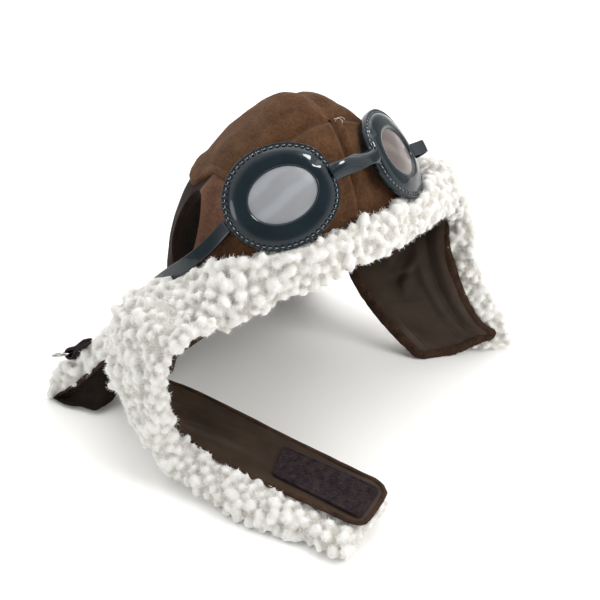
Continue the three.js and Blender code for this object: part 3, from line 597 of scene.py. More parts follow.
# %% Satin, whose pattern follows the cloth's own UV map in millimetres
satin, satin_shader = new_material("lining_satin", 0.5, 0.2)
satin_tree = satin.node_tree
satin_place = add_node(satin_tree, "ShaderNodeUVMap")
satin_threads = add_node(satin_tree, "ShaderNodeTexWave", {"Scale": 0.9, "Distortion": 0.6, "Detail": 2.0},
                         bands_direction="Y")
satin_cloud = add_node(satin_tree, "ShaderNodeTexNoise", {"Scale": 0.07, "Detail": 3.0})
join_nodes(satin_tree, (satin_place, "UV", satin_threads, "Vector"),
           (satin_place, "UV", satin_cloud, "Vector"))
tint_and_bump(satin_tree, satin_shader, satin_cloud, (0.014, 0.0085, 0.0055), (0.062, 0.041, 0.027),
              satin_threads, 0.12, 0.0003)
set_inputs(satin_shader, {"Sheen Weight": 0.12, "Sheen Roughness": 0.35, "Sheen Tint": (0.8, 0.62, 0.5, 1.0)})
print("satin made")

# %% [markdown]
# ## Curly pile
#
# On the real hat the pile is a knitted backing with thousands of soft curls that clump into
# tufts. Painting it would look flat, and hair strands would be too many. Here the solid's
# rounded body is copied and shrunk, bent tufts are scattered over it and melted into one
# skin, and short hair-thin strips stand on that skin as fuzz.


# %% Bent tufts to scatter, with their half sizes and their bend in millimetres
TUFTS = bpy.data.collections.new("tuft_shapes")
bpy.context.scene.collection.children.link(TUFTS)
TUFT_ROWS = (
    ("tuft_round", (3.1, 2.7, 2.7), 0.3),
    ("tuft_long", (4.0, 2.3, 2.4), 1.0),
    ("tuft_hook", (3.4, 2.2, 2.3), 1.4),
    ("tuft_small", (2.4, 2.0, 2.0), 0.4),
)
for name, half, bend in TUFT_ROWS:
    bpy.ops.object.select_all(action="DESELECT")
    bpy.ops.mesh.primitive_uv_sphere_add(segments=8, ring_count=7, radius=1.0)
    tuft = bpy.context.object
    tuft.name = name
    for vertex in tuft.data.vertices:
        x, y, z = vertex.co
        vertex.co = Vector((half[0] * x, half[1] * y + bend * x * x, half[2] * z)) * MM
    for home in list(tuft.users_collection):
        home.objects.unlink(tuft)
    TUFTS.objects.link(tuft)


# %% Scattering shapes with geometry nodes, turned between two sets of angles in radians
FREE_TURNS = ((0.0, 0.0, 0.0), (6.283, 6.283, 6.283))
UPRIGHT_TURNS = ((-0.7, -0.7, -3.14), (0.7, 0.7, 3.14))


def scatter_tree(name, shapes_from, apart, sizes, seed, upright=False):
    """Nodes that scatter shapes over a mesh, no closer than apart.

    Shapes are turned anyhow and the mesh stays under them. Upright ones lean a little away
    from the way its faces look, and the mesh is left out.
    """
    tree = bpy.data.node_groups.new(name, "GeometryNodeTree")
    for way in ("INPUT", "OUTPUT"):
        tree.interface.new_socket("Geometry", in_out=way, socket_type="NodeSocketGeometry")
    turns = UPRIGHT_TURNS if upright else FREE_TURNS
    given, result = add_node(tree, "NodeGroupInput"), add_node(tree, "NodeGroupOutput")
    points = add_node(tree, "GeometryNodeDistributePointsOnFaces", distribute_method="POISSON")
    set_inputs(points, {"Distance Min": apart, "Density Max": 3.0 / (apart * apart), "Seed": seed})
    shapes = add_node(tree, "GeometryNodeCollectionInfo")
    set_inputs(shapes, {"Collection": shapes_from, "Separate Children": True, "Reset Children": True})
    copies = add_node(tree, "GeometryNodeInstanceOnPoints", {"Pick Instance": True})
    turn = add_node(tree, "FunctionNodeRandomValue", data_type="FLOAT_VECTOR")
    set_inputs(turn, {"Min": turns[0], "Max": turns[1]})
    size = add_node(tree, "FunctionNodeRandomValue", {"Min": sizes[0], "Max": sizes[1]})
    real = add_node(tree, "GeometryNodeRealizeInstances")
    join = add_node(tree, "GeometryNodeJoinGeometry")
    join_nodes(tree, (given, 0, points, "Mesh"), (points, "Points", copies, "Points"),
               (shapes, 0, copies, "Instance"), (size, 1, copies, "Scale"), (copies, 0, real, 0))
    if upright:
        stand = add_node(tree, "FunctionNodeRotateRotation", rotation_space="LOCAL")
        join_nodes(tree, (points, "Rotation", stand, 0), (turn, 0, stand, 1), (stand, 0, copies, "Rotation"))
    else:
        join_nodes(tree, (turn, 0, copies, "Rotation"), (given, 0, join, 0))
    join_nodes(tree, (real, 0, join, 0), (join, 0, result, 0))
    return tree


# %% How deep each point lies between its neighbours, for the pile's painted shade
def hollow_shade_of(mesh, backing, full):
    """From 0 in a deep hollow to 1 on a crest, out of the skin's height and bend, for painted shade."""
    total = len(mesh.vertices)
    place = np.empty(total * 3)
    normal = np.empty(total * 3)
    ends = np.empty(len(mesh.edges) * 2, dtype=np.int64)
    mesh.vertices.foreach_get("co", place)
    mesh.vertices.foreach_get("normal", normal)
    mesh.edges.foreach_get("vertices", ends)
    place, normal, ends = place.reshape(-1, 3), normal.reshape(-1, 3), ends.reshape(-1, 2)
    first, second = ends[:, 0], ends[:, 1]
    step = place[second] - place[first]
    step /= np.maximum(np.linalg.norm(step, axis=1, keepdims=True), 1e-9)
    valence = np.maximum(np.bincount(ends.ravel(), minlength=total), 1)
    hollow = np.bincount(first, (normal[first] * step).sum(axis=1), total)
    hollow -= np.bincount(second, (normal[second] * step).sum(axis=1), total)
    hollow /= valence
    for _ in range(3):
        around = np.bincount(first, hollow[second], total) + np.bincount(second, hollow[first], total)
        hollow = 0.4 * hollow + 0.6 * around / valence
    height = np.array([backing.find_nearest(vertex.co)[3] for vertex in mesh.vertices]) / full
    return np.clip(0.30 + 0.45 * np.clip(height, 0, 1) - 1.6 * hollow, 0.0, 1.0)


# %% The way of the goggle band, which the pile keeps clear of
BAND_NAMES = ("degrees", "z", "off")
BAND = {
    -1: table(BAND_NAMES, [
        (74.5, 124.5, 3), (80, 115, 4), (88, 104.5, 4.5), (98, 93.5, 5.5), (108, 82, 8),
        (117, 72, 11), (127, 63, 10), (141, 62, 7), (158, 75, 4), (180, 85, 2.5)]),
    1: table(BAND_NAMES, [
        (74.5, 124.5, 3), (80, 115, 4), (88, 108, 5), (98, 99, 5), (108, 94, 5),
        (117, 91, 4), (130, 89, 3), (152, 88, 2.5), (180, 86, 2.5)]),
}


def band_place(t):
    """A place over the crown, from the right goggle at t = 0 round the back to the left one."""
    side = -1 if t <= 0.5 else 1
    along = 2 * t if t <= 0.5 else 2 - 2 * t
    rows = [Vector((row["degrees"], row["z"], row["off"])) for row in BAND[side]]
    degrees, z, off = through(rows, along)
    direction = towards(side * degrees, z)
    return dome(direction, off), direction


def band_station(t):
    place, direction = band_place(t)
    before, after = band_place(max(t - 0.01, 0))[0], band_place(min(t + 0.01, 1))[0]
    along = (after - before).normalized()
    out = (direction - along * direction.dot(along)).normalized()
    return place, out, out.cross(along).normalized()


BAND_WAY = [band_station(k / 400) for k in range(401)]
BAND_SPOTS = KDTree(len(BAND_WAY))
for index, station in enumerate(BAND_WAY):
    BAND_SPOTS.insert(station[0], index)
BAND_SPOTS.balance()

# %% Keeping the pile out of the band and the wool, in millimetres
GROOVE_REACH, GROOVE_HALF_WIDE, GROOVE_TOP, GROOVE_FLOOR, GROOVE_UNDER = 8.0, 4.6, 5.5, -1.8, -2.6
WOOL_GAP, WOOL_DEEP = 1.2, 6.0


def in_band_space(at, normal=None):
    """The way down from the band's space to the floor of its groove, or None outside it.

    A point whose normal looks away from the band is the pile's underside and goes lower.
    """
    _, index, distance = BAND_SPOTS.find(at)
    if distance > GROOVE_REACH:
        return None
    middle, out, wide = BAND_WAY[index]
    aside, height = (at - middle).dot(wide), (at - middle).dot(out)
    low = GROOVE_UNDER if normal and normal.dot(out) < 0 else GROOVE_FLOOR
    return out * (low - height) if abs(aside) < GROOVE_HALF_WIDE and low < height < GROOVE_TOP else None


def keep_clear(place, normal):
    """Moves a place of the pile out of the wool and down from the band."""
    at = place / MM - SHIFT
    away = at - CENTRE
    surface = (dome(away.normalized()) - CENTRE).length
    degrees = math.degrees(math.atan2(abs(away.x), -away.y))
    if at.z > rim_height(degrees) + 1 and surface - WOOL_DEEP < away.length < surface + WOOL_GAP:
        at = CENTRE + away.normalized() * (surface + WOOL_GAP)
    shift = in_band_space(at, normal)
    if shift:
        at += shift
    return (at + SHIFT) * MM


# %% Where the pile may go, beside other piles and beside the linings
PILE_NODES = ("brow_trim", "strap_pile", "flap_pile", "nape_pile")
PILE_SKINS = {
    node: BVHTree.FromPolygons(
        [vertex.co.copy() for vertex in frame["nodes"][node].data.vertices],
        [list(face.vertices) for face in frame["nodes"][node].data.polygons])
    for node in PILE_NODES
}


def offset_skin(body, node, swell):
    """Draws the skin in by 2.4 mm, less where another pile is near, and out by swell(place)."""
    others = [skin for name, skin in PILE_SKINS.items() if name != node]
    normals = [vertex.normal.copy() for vertex in body.data.vertices]
    for vertex, normal in zip(body.data.vertices, normals):
        near = min((skin.find_nearest(vertex.co)[3] or 1.0) for skin in others) / MM
        draw_in = lerp(0.2, 2.4, smooth(near, 1.5, 6.0))
        vertex.co += normal * (swell(vertex.co / MM) - draw_in) * MM


def lining_skin(surface):
    """A tree of a lining's middle surface, and +1 or -1 for the way its faces look."""
    columns, rows = 20, 70
    places = [(surface(i / columns, j / rows)[0] + SHIFT) * MM
              for i in range(columns + 1) for j in range(rows + 1)]
    step = rows + 1
    faces = [(i * step + j, (i + 1) * step + j, (i + 1) * step + j + 1, i * step + j + 1)
             for i in range(columns) for j in range(rows)]
    tree = BVHTree.FromPolygons(places, faces)
    middle, out = surface(0.5, 0.5)
    way = 1 if tree.find_nearest((middle + SHIFT) * MM)[1].dot(out) > 0 else -1
    return tree, way


def beyond_lining(place, skin):
    """How far outside the lining a place is, and the way out, or None beside the lining."""
    tree, way = skin
    spot, normal, _, distance = tree.find_nearest(place)
    if distance > 0.009:
        return None
    out = normal * way
    height = (place - spot).dot(out)
    if ((place - spot) - out * height).length > 0.0003 + 0.2 * distance:
        return None
    return height, out


# %% A body of pile, with its sizes in metres
BACKING_VOXEL, TUFTS_APART, TUFT_SIZES, PILE_DEEP = 0.0016, 0.0046, (0.75, 1.45), 0.0036
LINING_GAP, FUZZ_GAP, FLOOR_GAP = 0.0010, 0.0012, 0.0001


def mesh_copy(source, name):
    """A copy of a piece with a mesh of its own."""
    piece = source.copy()
    piece.data = source.data.copy()
    piece.name = name
    piece.parent = None
    piece.matrix_world = Matrix.Identity(4)
    bpy.context.collection.objects.link(piece)
    return piece


def make_pile(name, node, seed, fine, swell, skin=None, extra=None):
    """A skin of melted tufts over a copy of a solid node, joined with an extra strip if given."""
    body = mesh_copy(frame["nodes"][node], name)
    merge_close(body)
    if extra:
        select_only(extra)
        body.select_set(True)
        bpy.context.view_layer.objects.active = body
        bpy.ops.object.join()
    apply_modifier(body, "REMESH", mode="VOXEL", voxel_size=BACKING_VOXEL)
    apply_modifier(body, "SMOOTH", factor=0.6, iterations=8)
    offset_skin(body, node, swell)
    backing = BVHTree.FromObject(body, bpy.context.evaluated_depsgraph_get())
    tufts = scatter_tree(f"{name}_tufts", TUFTS, TUFTS_APART, TUFT_SIZES, seed)
    apply_modifier(body, "NODES", node_group=tufts)
    apply_modifier(body, "REMESH", mode="VOXEL", voxel_size=fine)
    apply_modifier(body, "SMOOTH", factor=0.5, iterations=3)
    mesh = body.data
    for vertex, normal in zip(mesh.vertices, [vertex.normal.copy() for vertex in mesh.vertices]):
        at = vertex.co / MM
        vertex.co += normal * (0.6 * noise.noise(at / 3.4) + 0.22 * noise.noise(at / 1.2)) * MM
        vertex.co = keep_clear(vertex.co, normal)
        away = beyond_lining(vertex.co, skin) if skin else None
        if away and away[0] < LINING_GAP:
            vertex.co += away[1] * (LINING_GAP - away[0])
        vertex.co.z = max(vertex.co.z, FLOOR_GAP)
    # The attribute rise carries the painted shade of the hollows to the pile's colour ramp.
    painted_shade_values = mesh.attributes.new("rise", "FLOAT", "POINT")
    painted_shade_values.data.foreach_set("value", hollow_shade_of(mesh, backing, PILE_DEEP))
    for face in mesh.polygons:
        face.use_smooth = True
    mesh.materials.clear()
    mesh.materials.append(pile_white)
    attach(body, "root")
    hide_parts(node)
    print(name, count(body), "triangles")
    return body


# %% One fibre: a hair-thin bent strip, rooted at the origin and rising along its own Z axis
FIBRE_SHAPES = bpy.data.collections.new("fibre_shapes")
bpy.context.scene.collection.children.link(FIBRE_SHAPES)
FIBRE_ROWS = [(-0.12, 0.0, -0.3), (0.12, 0.0, -0.3), (-0.10, 0.5, 1.0), (0.10, 0.5, 1.0), (0.02, 1.6, 1.7)]
fibre_mesh = bpy.data.meshes.new("fibre")
fibre_mesh.from_pydata([Vector(row) * MM for row in FIBRE_ROWS], [], [(0, 1, 3, 2), (2, 3, 4)])
FIBRE_SHAPES.objects.link(bpy.data.objects.new("fibre", fibre_mesh))
print("fibre", round(FIBRE_ROWS[-1][2], 1), "mm tall")


# %% The fuzz that stands out of the tufts
def make_fuzz(name, pile, apart, seed, skin):
    """Short fibres over a body of pile, as one mesh, with none on the lining or in the band."""
    fuzz = mesh_copy(pile, name)
    fibres = scatter_tree(f"{name}_scatter", FIBRE_SHAPES, apart, (0.5, 1.05), seed, upright=True)
    apply_modifier(fuzz, "NODES", node_group=fibres)
    shape = bmesh.new()
    shape.from_mesh(fuzz.data)
    hidden = []
    for vertex in shape.verts:
        vertex.co.z = max(vertex.co.z, FLOOR_GAP)
        away = beyond_lining(vertex.co, skin) if skin else None
        if (away and away[0] < FUZZ_GAP) or in_band_space(vertex.co / MM - SHIFT):
            hidden.append(vertex)
    bmesh.ops.delete(shape, geom=hidden, context="VERTS")
    shape.to_mesh(fuzz.data)
    shape.free()
    fuzz.data.materials.clear()
    fuzz.data.materials.append(pile_fibre)
    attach(fuzz, "root")
    print(name, count(fuzz), "triangles")


# %% The four bodies of pile and their fuzz
def brow_swell(at):
    """Slimmer low down on the wearer's left, beside the short flap."""
    return 0.5 - 2.6 * smooth(at.x, 40, 58) * (1 - smooth(at.z, 92, 106))


def strap_swell(at):
    """Fuller where the strap lies low, and slimmer at its top front corner."""
    low = 1 - smooth(at.z, 40, 62)
    top_front = smooth(at.z, 66, 80) * (1 - smooth(at.y, -6, 12))
    return 0.3 + 2.6 * low * smooth(at.y, -92, -60) - 3.2 * top_front


def flap_swell(at):
    """Fuller low down."""
    return 0.4 + 1.2 * (1 - smooth(at.z, 60, 85))


def nape_swell(at):
    """Fuller on the wearer's right, most of all at the bottom corner."""
    corner = 2.6 * smooth(-at.x, 92, 110) * (1 - smooth(at.z, 14, 24))
    return 0.3 + 2.2 * smooth(-at.x, 70, 95) + corner


def brow_fringe_point(u, v):
    """The pile that climbs the crown above the brow roll, on the wearer's right and front."""
    degrees = lerp(-100, -8, u)
    low = through([Vector((0, 0, z)) for z in (70, 84, 92, 100, 105, 108)], u).z
    high = through([Vector((0, 0, z)) for z in (88, 106, 114, 118, 120, 119)], u).z
    return dome(towards(degrees, lerp(low, high, v)), 4.0)


fringe = bent_grid("brow_fringe", 60, 10, brow_fringe_point, (100, 20))
apply_modifier(fringe, "SOLIDIFY", thickness=0.0095, offset=0.0)


def nape_collar_point(u, v):
    """The pile that closes the rim of the crown, from behind one ear round to the other."""
    degrees = lerp(103, 262, u)
    fold = min(degrees, 360 - degrees)
    z = lerp(rim_height(fold) - 10, rim_height(fold) + 3, v)
    return dome(towards(degrees, z), lerp(3.6, 1.4, smooth(degrees, 170, 215)))


collar = bent_grid("nape_collar", 90, 10, nape_collar_point, (220, 16))
apply_modifier(collar, "SOLIDIFY", thickness=0.0062, offset=0.0)


def lifted_flap(u, v):
    """The flap with its front bottom corner bent up."""
    place, out = flap(u, v)
    place.z += 9.0 * (1 - smooth(u, 0.0, 0.62)) * smooth(v, 0.78, 1.0)
    return place, out


strap_skin, flap_skin, nape_skin = lining_skin(strap), lining_skin(lifted_flap), lining_skin(nape)
brow_pile = make_pile("brow_pile", "brow_trim", 3, 0.00092, brow_swell, None, fringe)
strap_curls = make_pile("strap_curls", "strap_pile", 5, 0.00088, strap_swell, strap_skin)
flap_curls = make_pile("flap_curls", "flap_pile", 7, 0.00085, flap_swell, flap_skin)
nape_curls = make_pile("nape_curls", "nape_pile", 9, 0.00096, nape_swell, nape_skin, collar)
make_fuzz("brow_fuzz", brow_pile, 0.00095, 20, None)
make_fuzz("strap_fuzz", strap_curls, 0.00095, 21, strap_skin)
make_fuzz("flap_fuzz", flap_curls, 0.00100, 22, flap_skin)
make_fuzz("nape_fuzz", nape_curls, 0.00110, 23, nape_skin)

# %% [markdown]
# ## The wool crown
#
# The crown is sewn from four gores that meet near the top. A gore is a grid that runs from
# the meeting point down to the rim. It swells between its seams, sinks at them, and has the
# soft dents of felted wool. The notch for the side panel is cut with flat bisects.

# %% Dents of the wool: start, end, width and depth, in millimetres
DENTS = [
    (Vector((-44, 40, 140)), Vector((-52, 14, 134)), 7.0, 2.6),
    (Vector((-20, 30, 168)), Vector((-34, 44, 152)), 9.0, 1.5),
    (Vector((16, -20, 142)), Vector((8, -34, 122)), 6.0, 1.6),
    (Vector((-62, 24, 128)), Vector((-58, -6, 122)), 6.0, 1.4),
    (Vector((40, 20, 160)), Vector((56, 34, 130)), 9.0, 1.8),
    (Vector((10, 62, 148)), Vector((-10, 78, 110)), 9.0, 1.8),
]


def dent_depth(place):
    total = 0.0
    for start, end, width, depth in DENTS:
        along = min(max((place - start).dot(end - start) / (end - start).length_squared, 0.0), 1.0)
        near = (place - start.lerp(end, along)).length
        total += depth * math.exp(-(near / width) ** 2)
    return total


GORE_WIDE, PILLOW_HIGH, SEAM_DEEP, SEAM_WIDE = 105, 1.7, 1.5, 1.5
RIDGE_HIGH, RIDGE_AT, RIDGE_WIDE = 0.9, 3.4, 1.7


def gore_point(from_degrees, to_degrees):
    """A gore from the seams' meeting point at v = 0 down to the rim at v = 1."""
    def point(u, v):
        degrees = lerp(from_degrees, to_degrees, u)
        rim = towards(degrees, rim_height(degrees))
        t = lerp(0.006, 1.0, v)
        direction = APEX.slerp(rim, t)
        from_seam = (0.5 - abs(u - 0.5)) * GORE_WIDE * max(t, 0.02)
        pillow = PILLOW_HIGH * (1 - abs(2 * u - 1) ** 3.2) * min(1.0, 3 * t) - 1.0
        front = 1 - 0.6 * smooth(t, 0.35, 0.55) * (abs(degrees) < 45)
        pinch = -SEAM_DEEP * front * math.exp(-(from_seam / SEAM_WIDE) ** 2)
        ridge = RIDGE_HIGH * front * math.exp(-((from_seam - RIDGE_AT) / RIDGE_WIDE) ** 2)
        place = dome(direction)
        wave = 1.3 * noise.noise(place / 26.0) + 0.5 * noise.noise(place / 9.0)
        return dome(direction, pillow + pinch + ridge + wave - dent_depth(place))
    return point


# %% The four gores
def cut_notch(piece, side):
    """Removes what lies where the suede side panel goes."""
    select_only(piece)
    bpy.ops.object.mode_set(mode="EDIT")
    middle = (CENTRE + SHIFT) * MM
    cuts = [(Vector((0, 0, (SIDE_RIM + SHIFT.z) * MM)), Vector((0, 0, 1)))]
    for degrees in (PANEL_FROM, PANEL_TO):
        a = math.radians(degrees)
        cuts.append((middle, Vector((math.cos(a) * side, math.sin(a), 0))))
    for place, normal in cuts:
        bpy.ops.mesh.select_all(action="SELECT")
        bpy.ops.mesh.bisect(plane_co=place, plane_no=normal)
    bpy.ops.mesh.select_all(action="DESELECT")
    bpy.ops.object.mode_set(mode="OBJECT")
    for face in piece.data.polygons:
        at = face.center / MM - SHIFT
        degrees = math.degrees(math.atan2(side * at.x, CENTRE.y - at.y))
        face.select = at.z < SIDE_RIM and PANEL_FROM < degrees < PANEL_TO
    bpy.ops.object.mode_set(mode="EDIT")
    bpy.ops.mesh.select_mode(type="FACE")
    bpy.ops.mesh.delete(type="FACE")
    bpy.ops.mesh.select_mode(type="VERT")
    bpy.ops.object.mode_set(mode="OBJECT")


def from_crown(place):
    return place - (CENTRE + SHIFT) * MM


def paint_shade_inside(piece):
    """The side that looks at the head is the dark backing, made near-black as painted shade."""
    piece.data.materials.append(backing_painted_shade)
    for face in piece.data.polygons:
        if face.normal.dot(from_crown(face.center).normalized()) < -0.2:
            face.material_index = 1


SIDES = (("right", -1), ("left", 1))
for word, side in SIDES:
    for part, start, end in (("front", 0, 90), ("back", 90, 180)):
        shape = gore_point(side * start, side * end)
        gore = bent_grid(f"wool_gore_{part}_{word}", 44, 54, shape, (110, 110))
        cut_notch(gore, side)
        face_towards(gore, from_crown)
        apply_modifier(gore, "SOLIDIFY", thickness=0.0022, offset=-1.0)
        apply_modifier(gore, "BEVEL", width=0.0006, segments=2, limit_method="ANGLE", angle_limit=1.0)
        finish_piece(gore, wool, [f"crown_gore_{part}_{word}"], 60)
        paint_shade_inside(gore)

# %% [markdown]
# ## Suede side panels
#
# A panel of redder suede surrounds each ear opening. Its rim rolls inward and stands away
# from the head, so the opening looks deep. It could be cut from the crown, but here a grid
# runs round the opening like rings on water: its first rings are the rolled rim and its last
# ring is tucked under the wool. The lip and the suede behind the opening are painted nearly
# black, as painted shade where they lie away from the light.

# %% Ear openings
EAR_Y, EAR_Z, EAR_HALF_WIDE, EAR_HALF_TALL, LIP = 30.0, 112.0, 13.0, 20.0, 3.6
SIDE_RADIUS, ROLLED_SHARE, TUCKED_UNDER = 66, 0.26, 1.5
# The lip's share of the rings, and the degrees from which the suede behind the opening is painted as shade.
RINGS_LONG, SHADED_LIP_SHARE, SHADED_FROM_DEGREES = 60, 0.13, 101
EAR_DEGREES = 90 + math.degrees(math.asin((EAR_Y - CENTRE.y) / 64))
EAR_DEGREES_WIDE = math.degrees(EAR_HALF_WIDE / SIDE_RADIUS)
print("ear opening at", round(EAR_DEGREES), "degrees round from the brow")


def panel_reach(ray):
    """How many times its length a ray from the opening's middle goes to the panel's edge."""
    edges = []
    if ray.x > 1e-6:
        edges.append((PANEL_TO + TUCKED_UNDER - EAR_DEGREES) / ray.x)
    if ray.x < -1e-6:
        edges.append((PANEL_FROM - TUCKED_UNDER - EAR_DEGREES) / ray.x)
    if ray.y > 1e-6:
        edges.append((SIDE_RIM + TUCKED_UNDER - EAR_Z) / ray.y)
    if ray.y < -1e-6:
        reach = 1.0
        while EAR_Z + ray.y * reach > rim_height(EAR_DEGREES + ray.x * reach) + 1 and reach < 12:
            reach += 0.02
        edges.append(reach)
    return min(edges)


def panel_point(side):
    """Rings round the ear opening: u goes round, and v goes from its lip out to the wool."""
    def point(u, v):
        a = 2 * math.pi * u
        ray = Vector((math.cos(a) * EAR_DEGREES_WIDE, math.sin(a) * EAR_HALF_TALL))
        if v < ROLLED_SHARE:
            turn = math.pi * (v / ROLLED_SHARE)
            scale = 1 + 0.05 * (1 - math.cos(turn)) - 0.05
            inward = 4.0 * (1 + math.cos(turn)) / 2
            swell = 0.7 * math.sin(turn)
        else:
            scale = lerp(1.05, panel_reach(ray), ((v - ROLLED_SHARE) / (1 - ROLLED_SHARE)) ** 1.25)
            inward, swell = 0.0, 0.0
        degrees = EAR_DEGREES + ray.x * scale
        z = EAR_Z + ray.y * scale
        away = (scale - 1) * math.hypot(ray.x * SIDE_RADIUS * math.pi / 180, ray.y)
        upper = smooth(ray.y / EAR_HALF_TALL, -1.0, -0.35)
        front = lerp(0.3, 1.0, smooth(-math.cos(a), -0.6, 0.7))
        lift = LIP * math.exp(-(max(away - 0.5, 0) / 5.5) ** 2) * upper * front
        tuck = -1.6 * smooth(v, 0.90, 1.0)
        direction = towards(side * degrees, z)
        place = dome(direction)
        wave = 0.7 * noise.noise(place / 14.0 + Vector((3, 1, 2))) * smooth(v, 0.2, 0.4)
        return dome(direction, lift + swell - inward + tuck + wave - 0.2)
    return point


for word, side in SIDES:
    panel = bent_grid(f"suede_panel_{word}", 96, 40, panel_point(side), (160, RINGS_LONG))
    merge_close(panel)
    face_towards(panel, from_crown)
    apply_modifier(panel, "SOLIDIFY", thickness=0.0016, offset=-1.0)
    finish_piece(panel, suede, [f"ear_panel_{word}"], 60)
    paint_shade_inside(panel)
    # The lip and the lower suede behind the opening get the near-black copy of the suede as painted shade.
    panel.data.materials.append(suede_painted_shade)
    uv = panel.data.uv_layers.active.data
    for face in panel.data.polygons:
        at = face.center / MM - SHIFT
        ring = max(uv[k].uv.y for k in face.loop_indices) / RINGS_LONG
        behind = math.degrees(math.atan2(side * at.x, CENTRE.y - at.y)) > SHADED_FROM_DEGREES
        if face.material_index == 0 and (ring < SHADED_LIP_SHARE or (behind and at.z < SIDE_RIM)):
            face.material_index = 2

# %% [markdown]
# The wool is turned over where it meets the suede. Behind the ear opening that turned edge
# hangs lower and stands proud, so it throws a soft shadow on the suede.


# %% The turned edge of the wool above the suede
EDGE_FROM, EDGE_TO, EDGE_TOP, EDGE_FRONT, EDGE_REAR = 79, 146, 147.5, 141.5, 129.5


def overhang_point(side):
    """From its top under the wool at v = 0 to its rolled lower edge at v = 1."""
    def point(u, v):
        degrees = lerp(EDGE_FROM, EDGE_TO, u)
        drop = smooth(degrees, 98, 116)
        low = lerp(EDGE_FRONT, EDGE_REAR, drop) + 0.8 * noise.noise(Vector((degrees / 9, side, 0)))
        z = lerp(EDGE_TOP, low, v)
        ends = smooth(u, 0.0, 0.12) * (1 - smooth(u, 0.88, 1.0))
        proud = lerp(-1.0, 1.9 + 0.6 * drop, smooth(v, 0.0, 0.72)) * ends - 0.6
        roll = 2.9 * smooth(v, 0.86, 1.0)
        wave = 0.5 * noise.noise(Vector((degrees / 6, z / 9, 4)))
        return dome(towards(side * degrees, z + 1.4 * smooth(v, 0.93, 1.0)), proud - roll + wave)
    return point


for word, side in SIDES:
    fold = bent_grid(f"wool_edge_{word}", 90, 26, overhang_point(side), (80, 16))
    face_towards(fold, from_crown)
    apply_modifier(fold, "SOLIDIFY", thickness=0.0012, offset=-1.0)
    finish_piece(fold, wool, (), 60)

# %% [markdown]
# ## Goggles
#
# The goggles are toy ones: two padded rims of patent vinyl, stitched near their edge, with a
# soft film lens in each. A rim is one closed ring whose section is swept round an oval. The
# stitches pull the vinyl down at every pitch, and those puckers are what sparkles.

# %% Where each goggle sits
TURN, TILT, ROLL = math.radians(36), math.radians(35.5), math.radians(23)
LENS_LONG, LENS_SHORT, RIM_LONG, RIM_SHORT, BEND = 17.2, 13.0, 29.8, 25.4, 95.0
GOGGLE_AT = {-1: Vector((-37.0, -14.5, 142.0)), 1: Vector((41.0, -14.5, 142.0))}


def goggle_axes(side):
    """The way a goggle looks, its long and its short axis, and its middle."""
    out = Vector((side * math.sin(TURN) * math.cos(TILT), -math.cos(TURN) * math.cos(TILT), math.sin(TILT)))
    level = Vector((0, 0, 1)).cross(out).normalized()
    long = Matrix.Rotation(-side * ROLL, 3, out) @ level
    return out, long, out.cross(long), GOGGLE_AT[side]


def goggle_point(side, x, y, height):
    """A place on a goggle, whose plane bends back towards its edges."""
    out, long, short, centre = goggle_axes(side)
    return centre + long * x + short * y + out * (height - (x * x + y * y) / (2 * BEND))


def rim_reach(angle, side):
    """The rim's half length and half height at an angle; it is narrower beside the nose."""
    inward = math.cos(angle) * -side
    return RIM_LONG * (1 - 0.09 * max(0.0, inward) ** 6), RIM_SHORT * (1 - 0.05 * inward)


# %% The padded rims: the section's share of the way from lens to edge, and its height
RIM_SECTION = [Vector(pair).to_3d() for pair in (
    (0.02, -0.9), (0.0, 0.2), (0.015, 0.9), (0.07, 1.55), (0.22, 2.05), (0.42, 2.2),
    (0.60, 2.05), (0.74, 1.6), (0.83, 0.80), (0.89, 0.90), (0.975, 1.50), (1.0, 0.90),
    (0.995, -1.2), (0.95, -2.3), (0.8, -1.2), (0.45, -1.0), (0.1, -1.0), (0.02, -0.9))]
# A crease runs across each rim, at an angle in radians and with a depth in millimetres
CREASE_AT = {-1: (0.42, 1.1), 1: (2.55, 0.9)}
STITCH_PITCH, STITCH_AT, STITCH_HIGH, STITCH_OVAL = 2.8, 0.87, 0.98, (27, 23)
STITCH_COUNT = round(2 * math.pi * math.sqrt((STITCH_OVAL[0] ** 2 + STITCH_OVAL[1] ** 2) / 2) / STITCH_PITCH)
print("stitches in a rim", STITCH_COUNT)


def rim_point(side):
    def point(u, v):
        a = 2 * math.pi * u
        section = through(RIM_SECTION, v)
        long, short = rim_reach(a, side)
        near_stitch = math.exp(-((section.x - STITCH_AT) / 0.06) ** 2) if section.y > 0 else 0.0
        pucker = 0.7 * near_stitch * math.cos(STITCH_COUNT * a)
        crease_angle, crease_depth = CREASE_AT[side]
        crease = -crease_depth * math.exp(-((a - crease_angle) / 0.09) ** 2)
        crease *= smooth(section.x, 0.25, 0.7)
        flutter = 0.25 * noise.noise(Vector((math.cos(a) * 2, math.sin(a) * 2, side))) * section.x
        x = lerp(LENS_LONG, long, section.x) * math.cos(a)
        y = lerp(LENS_SHORT, short, section.x) * math.sin(a)
        return goggle_point(side, x, y, section.y + pucker + flutter + crease * (section.y > 0))
    return point


for word, side in SIDES:
    rim = bent_grid(f"vinyl_rim_{word}", 240, 48, rim_point(side), (170, 40))
    merge_close(rim)
    finish_piece(rim, vinyl, [f"goggle_frame_{word}"], 80)


# %% Stitches round the rims
# A stitch's half length, half width and half height, in metres
STITCH_HALF = (0.00082, 0.0003, 0.00032)


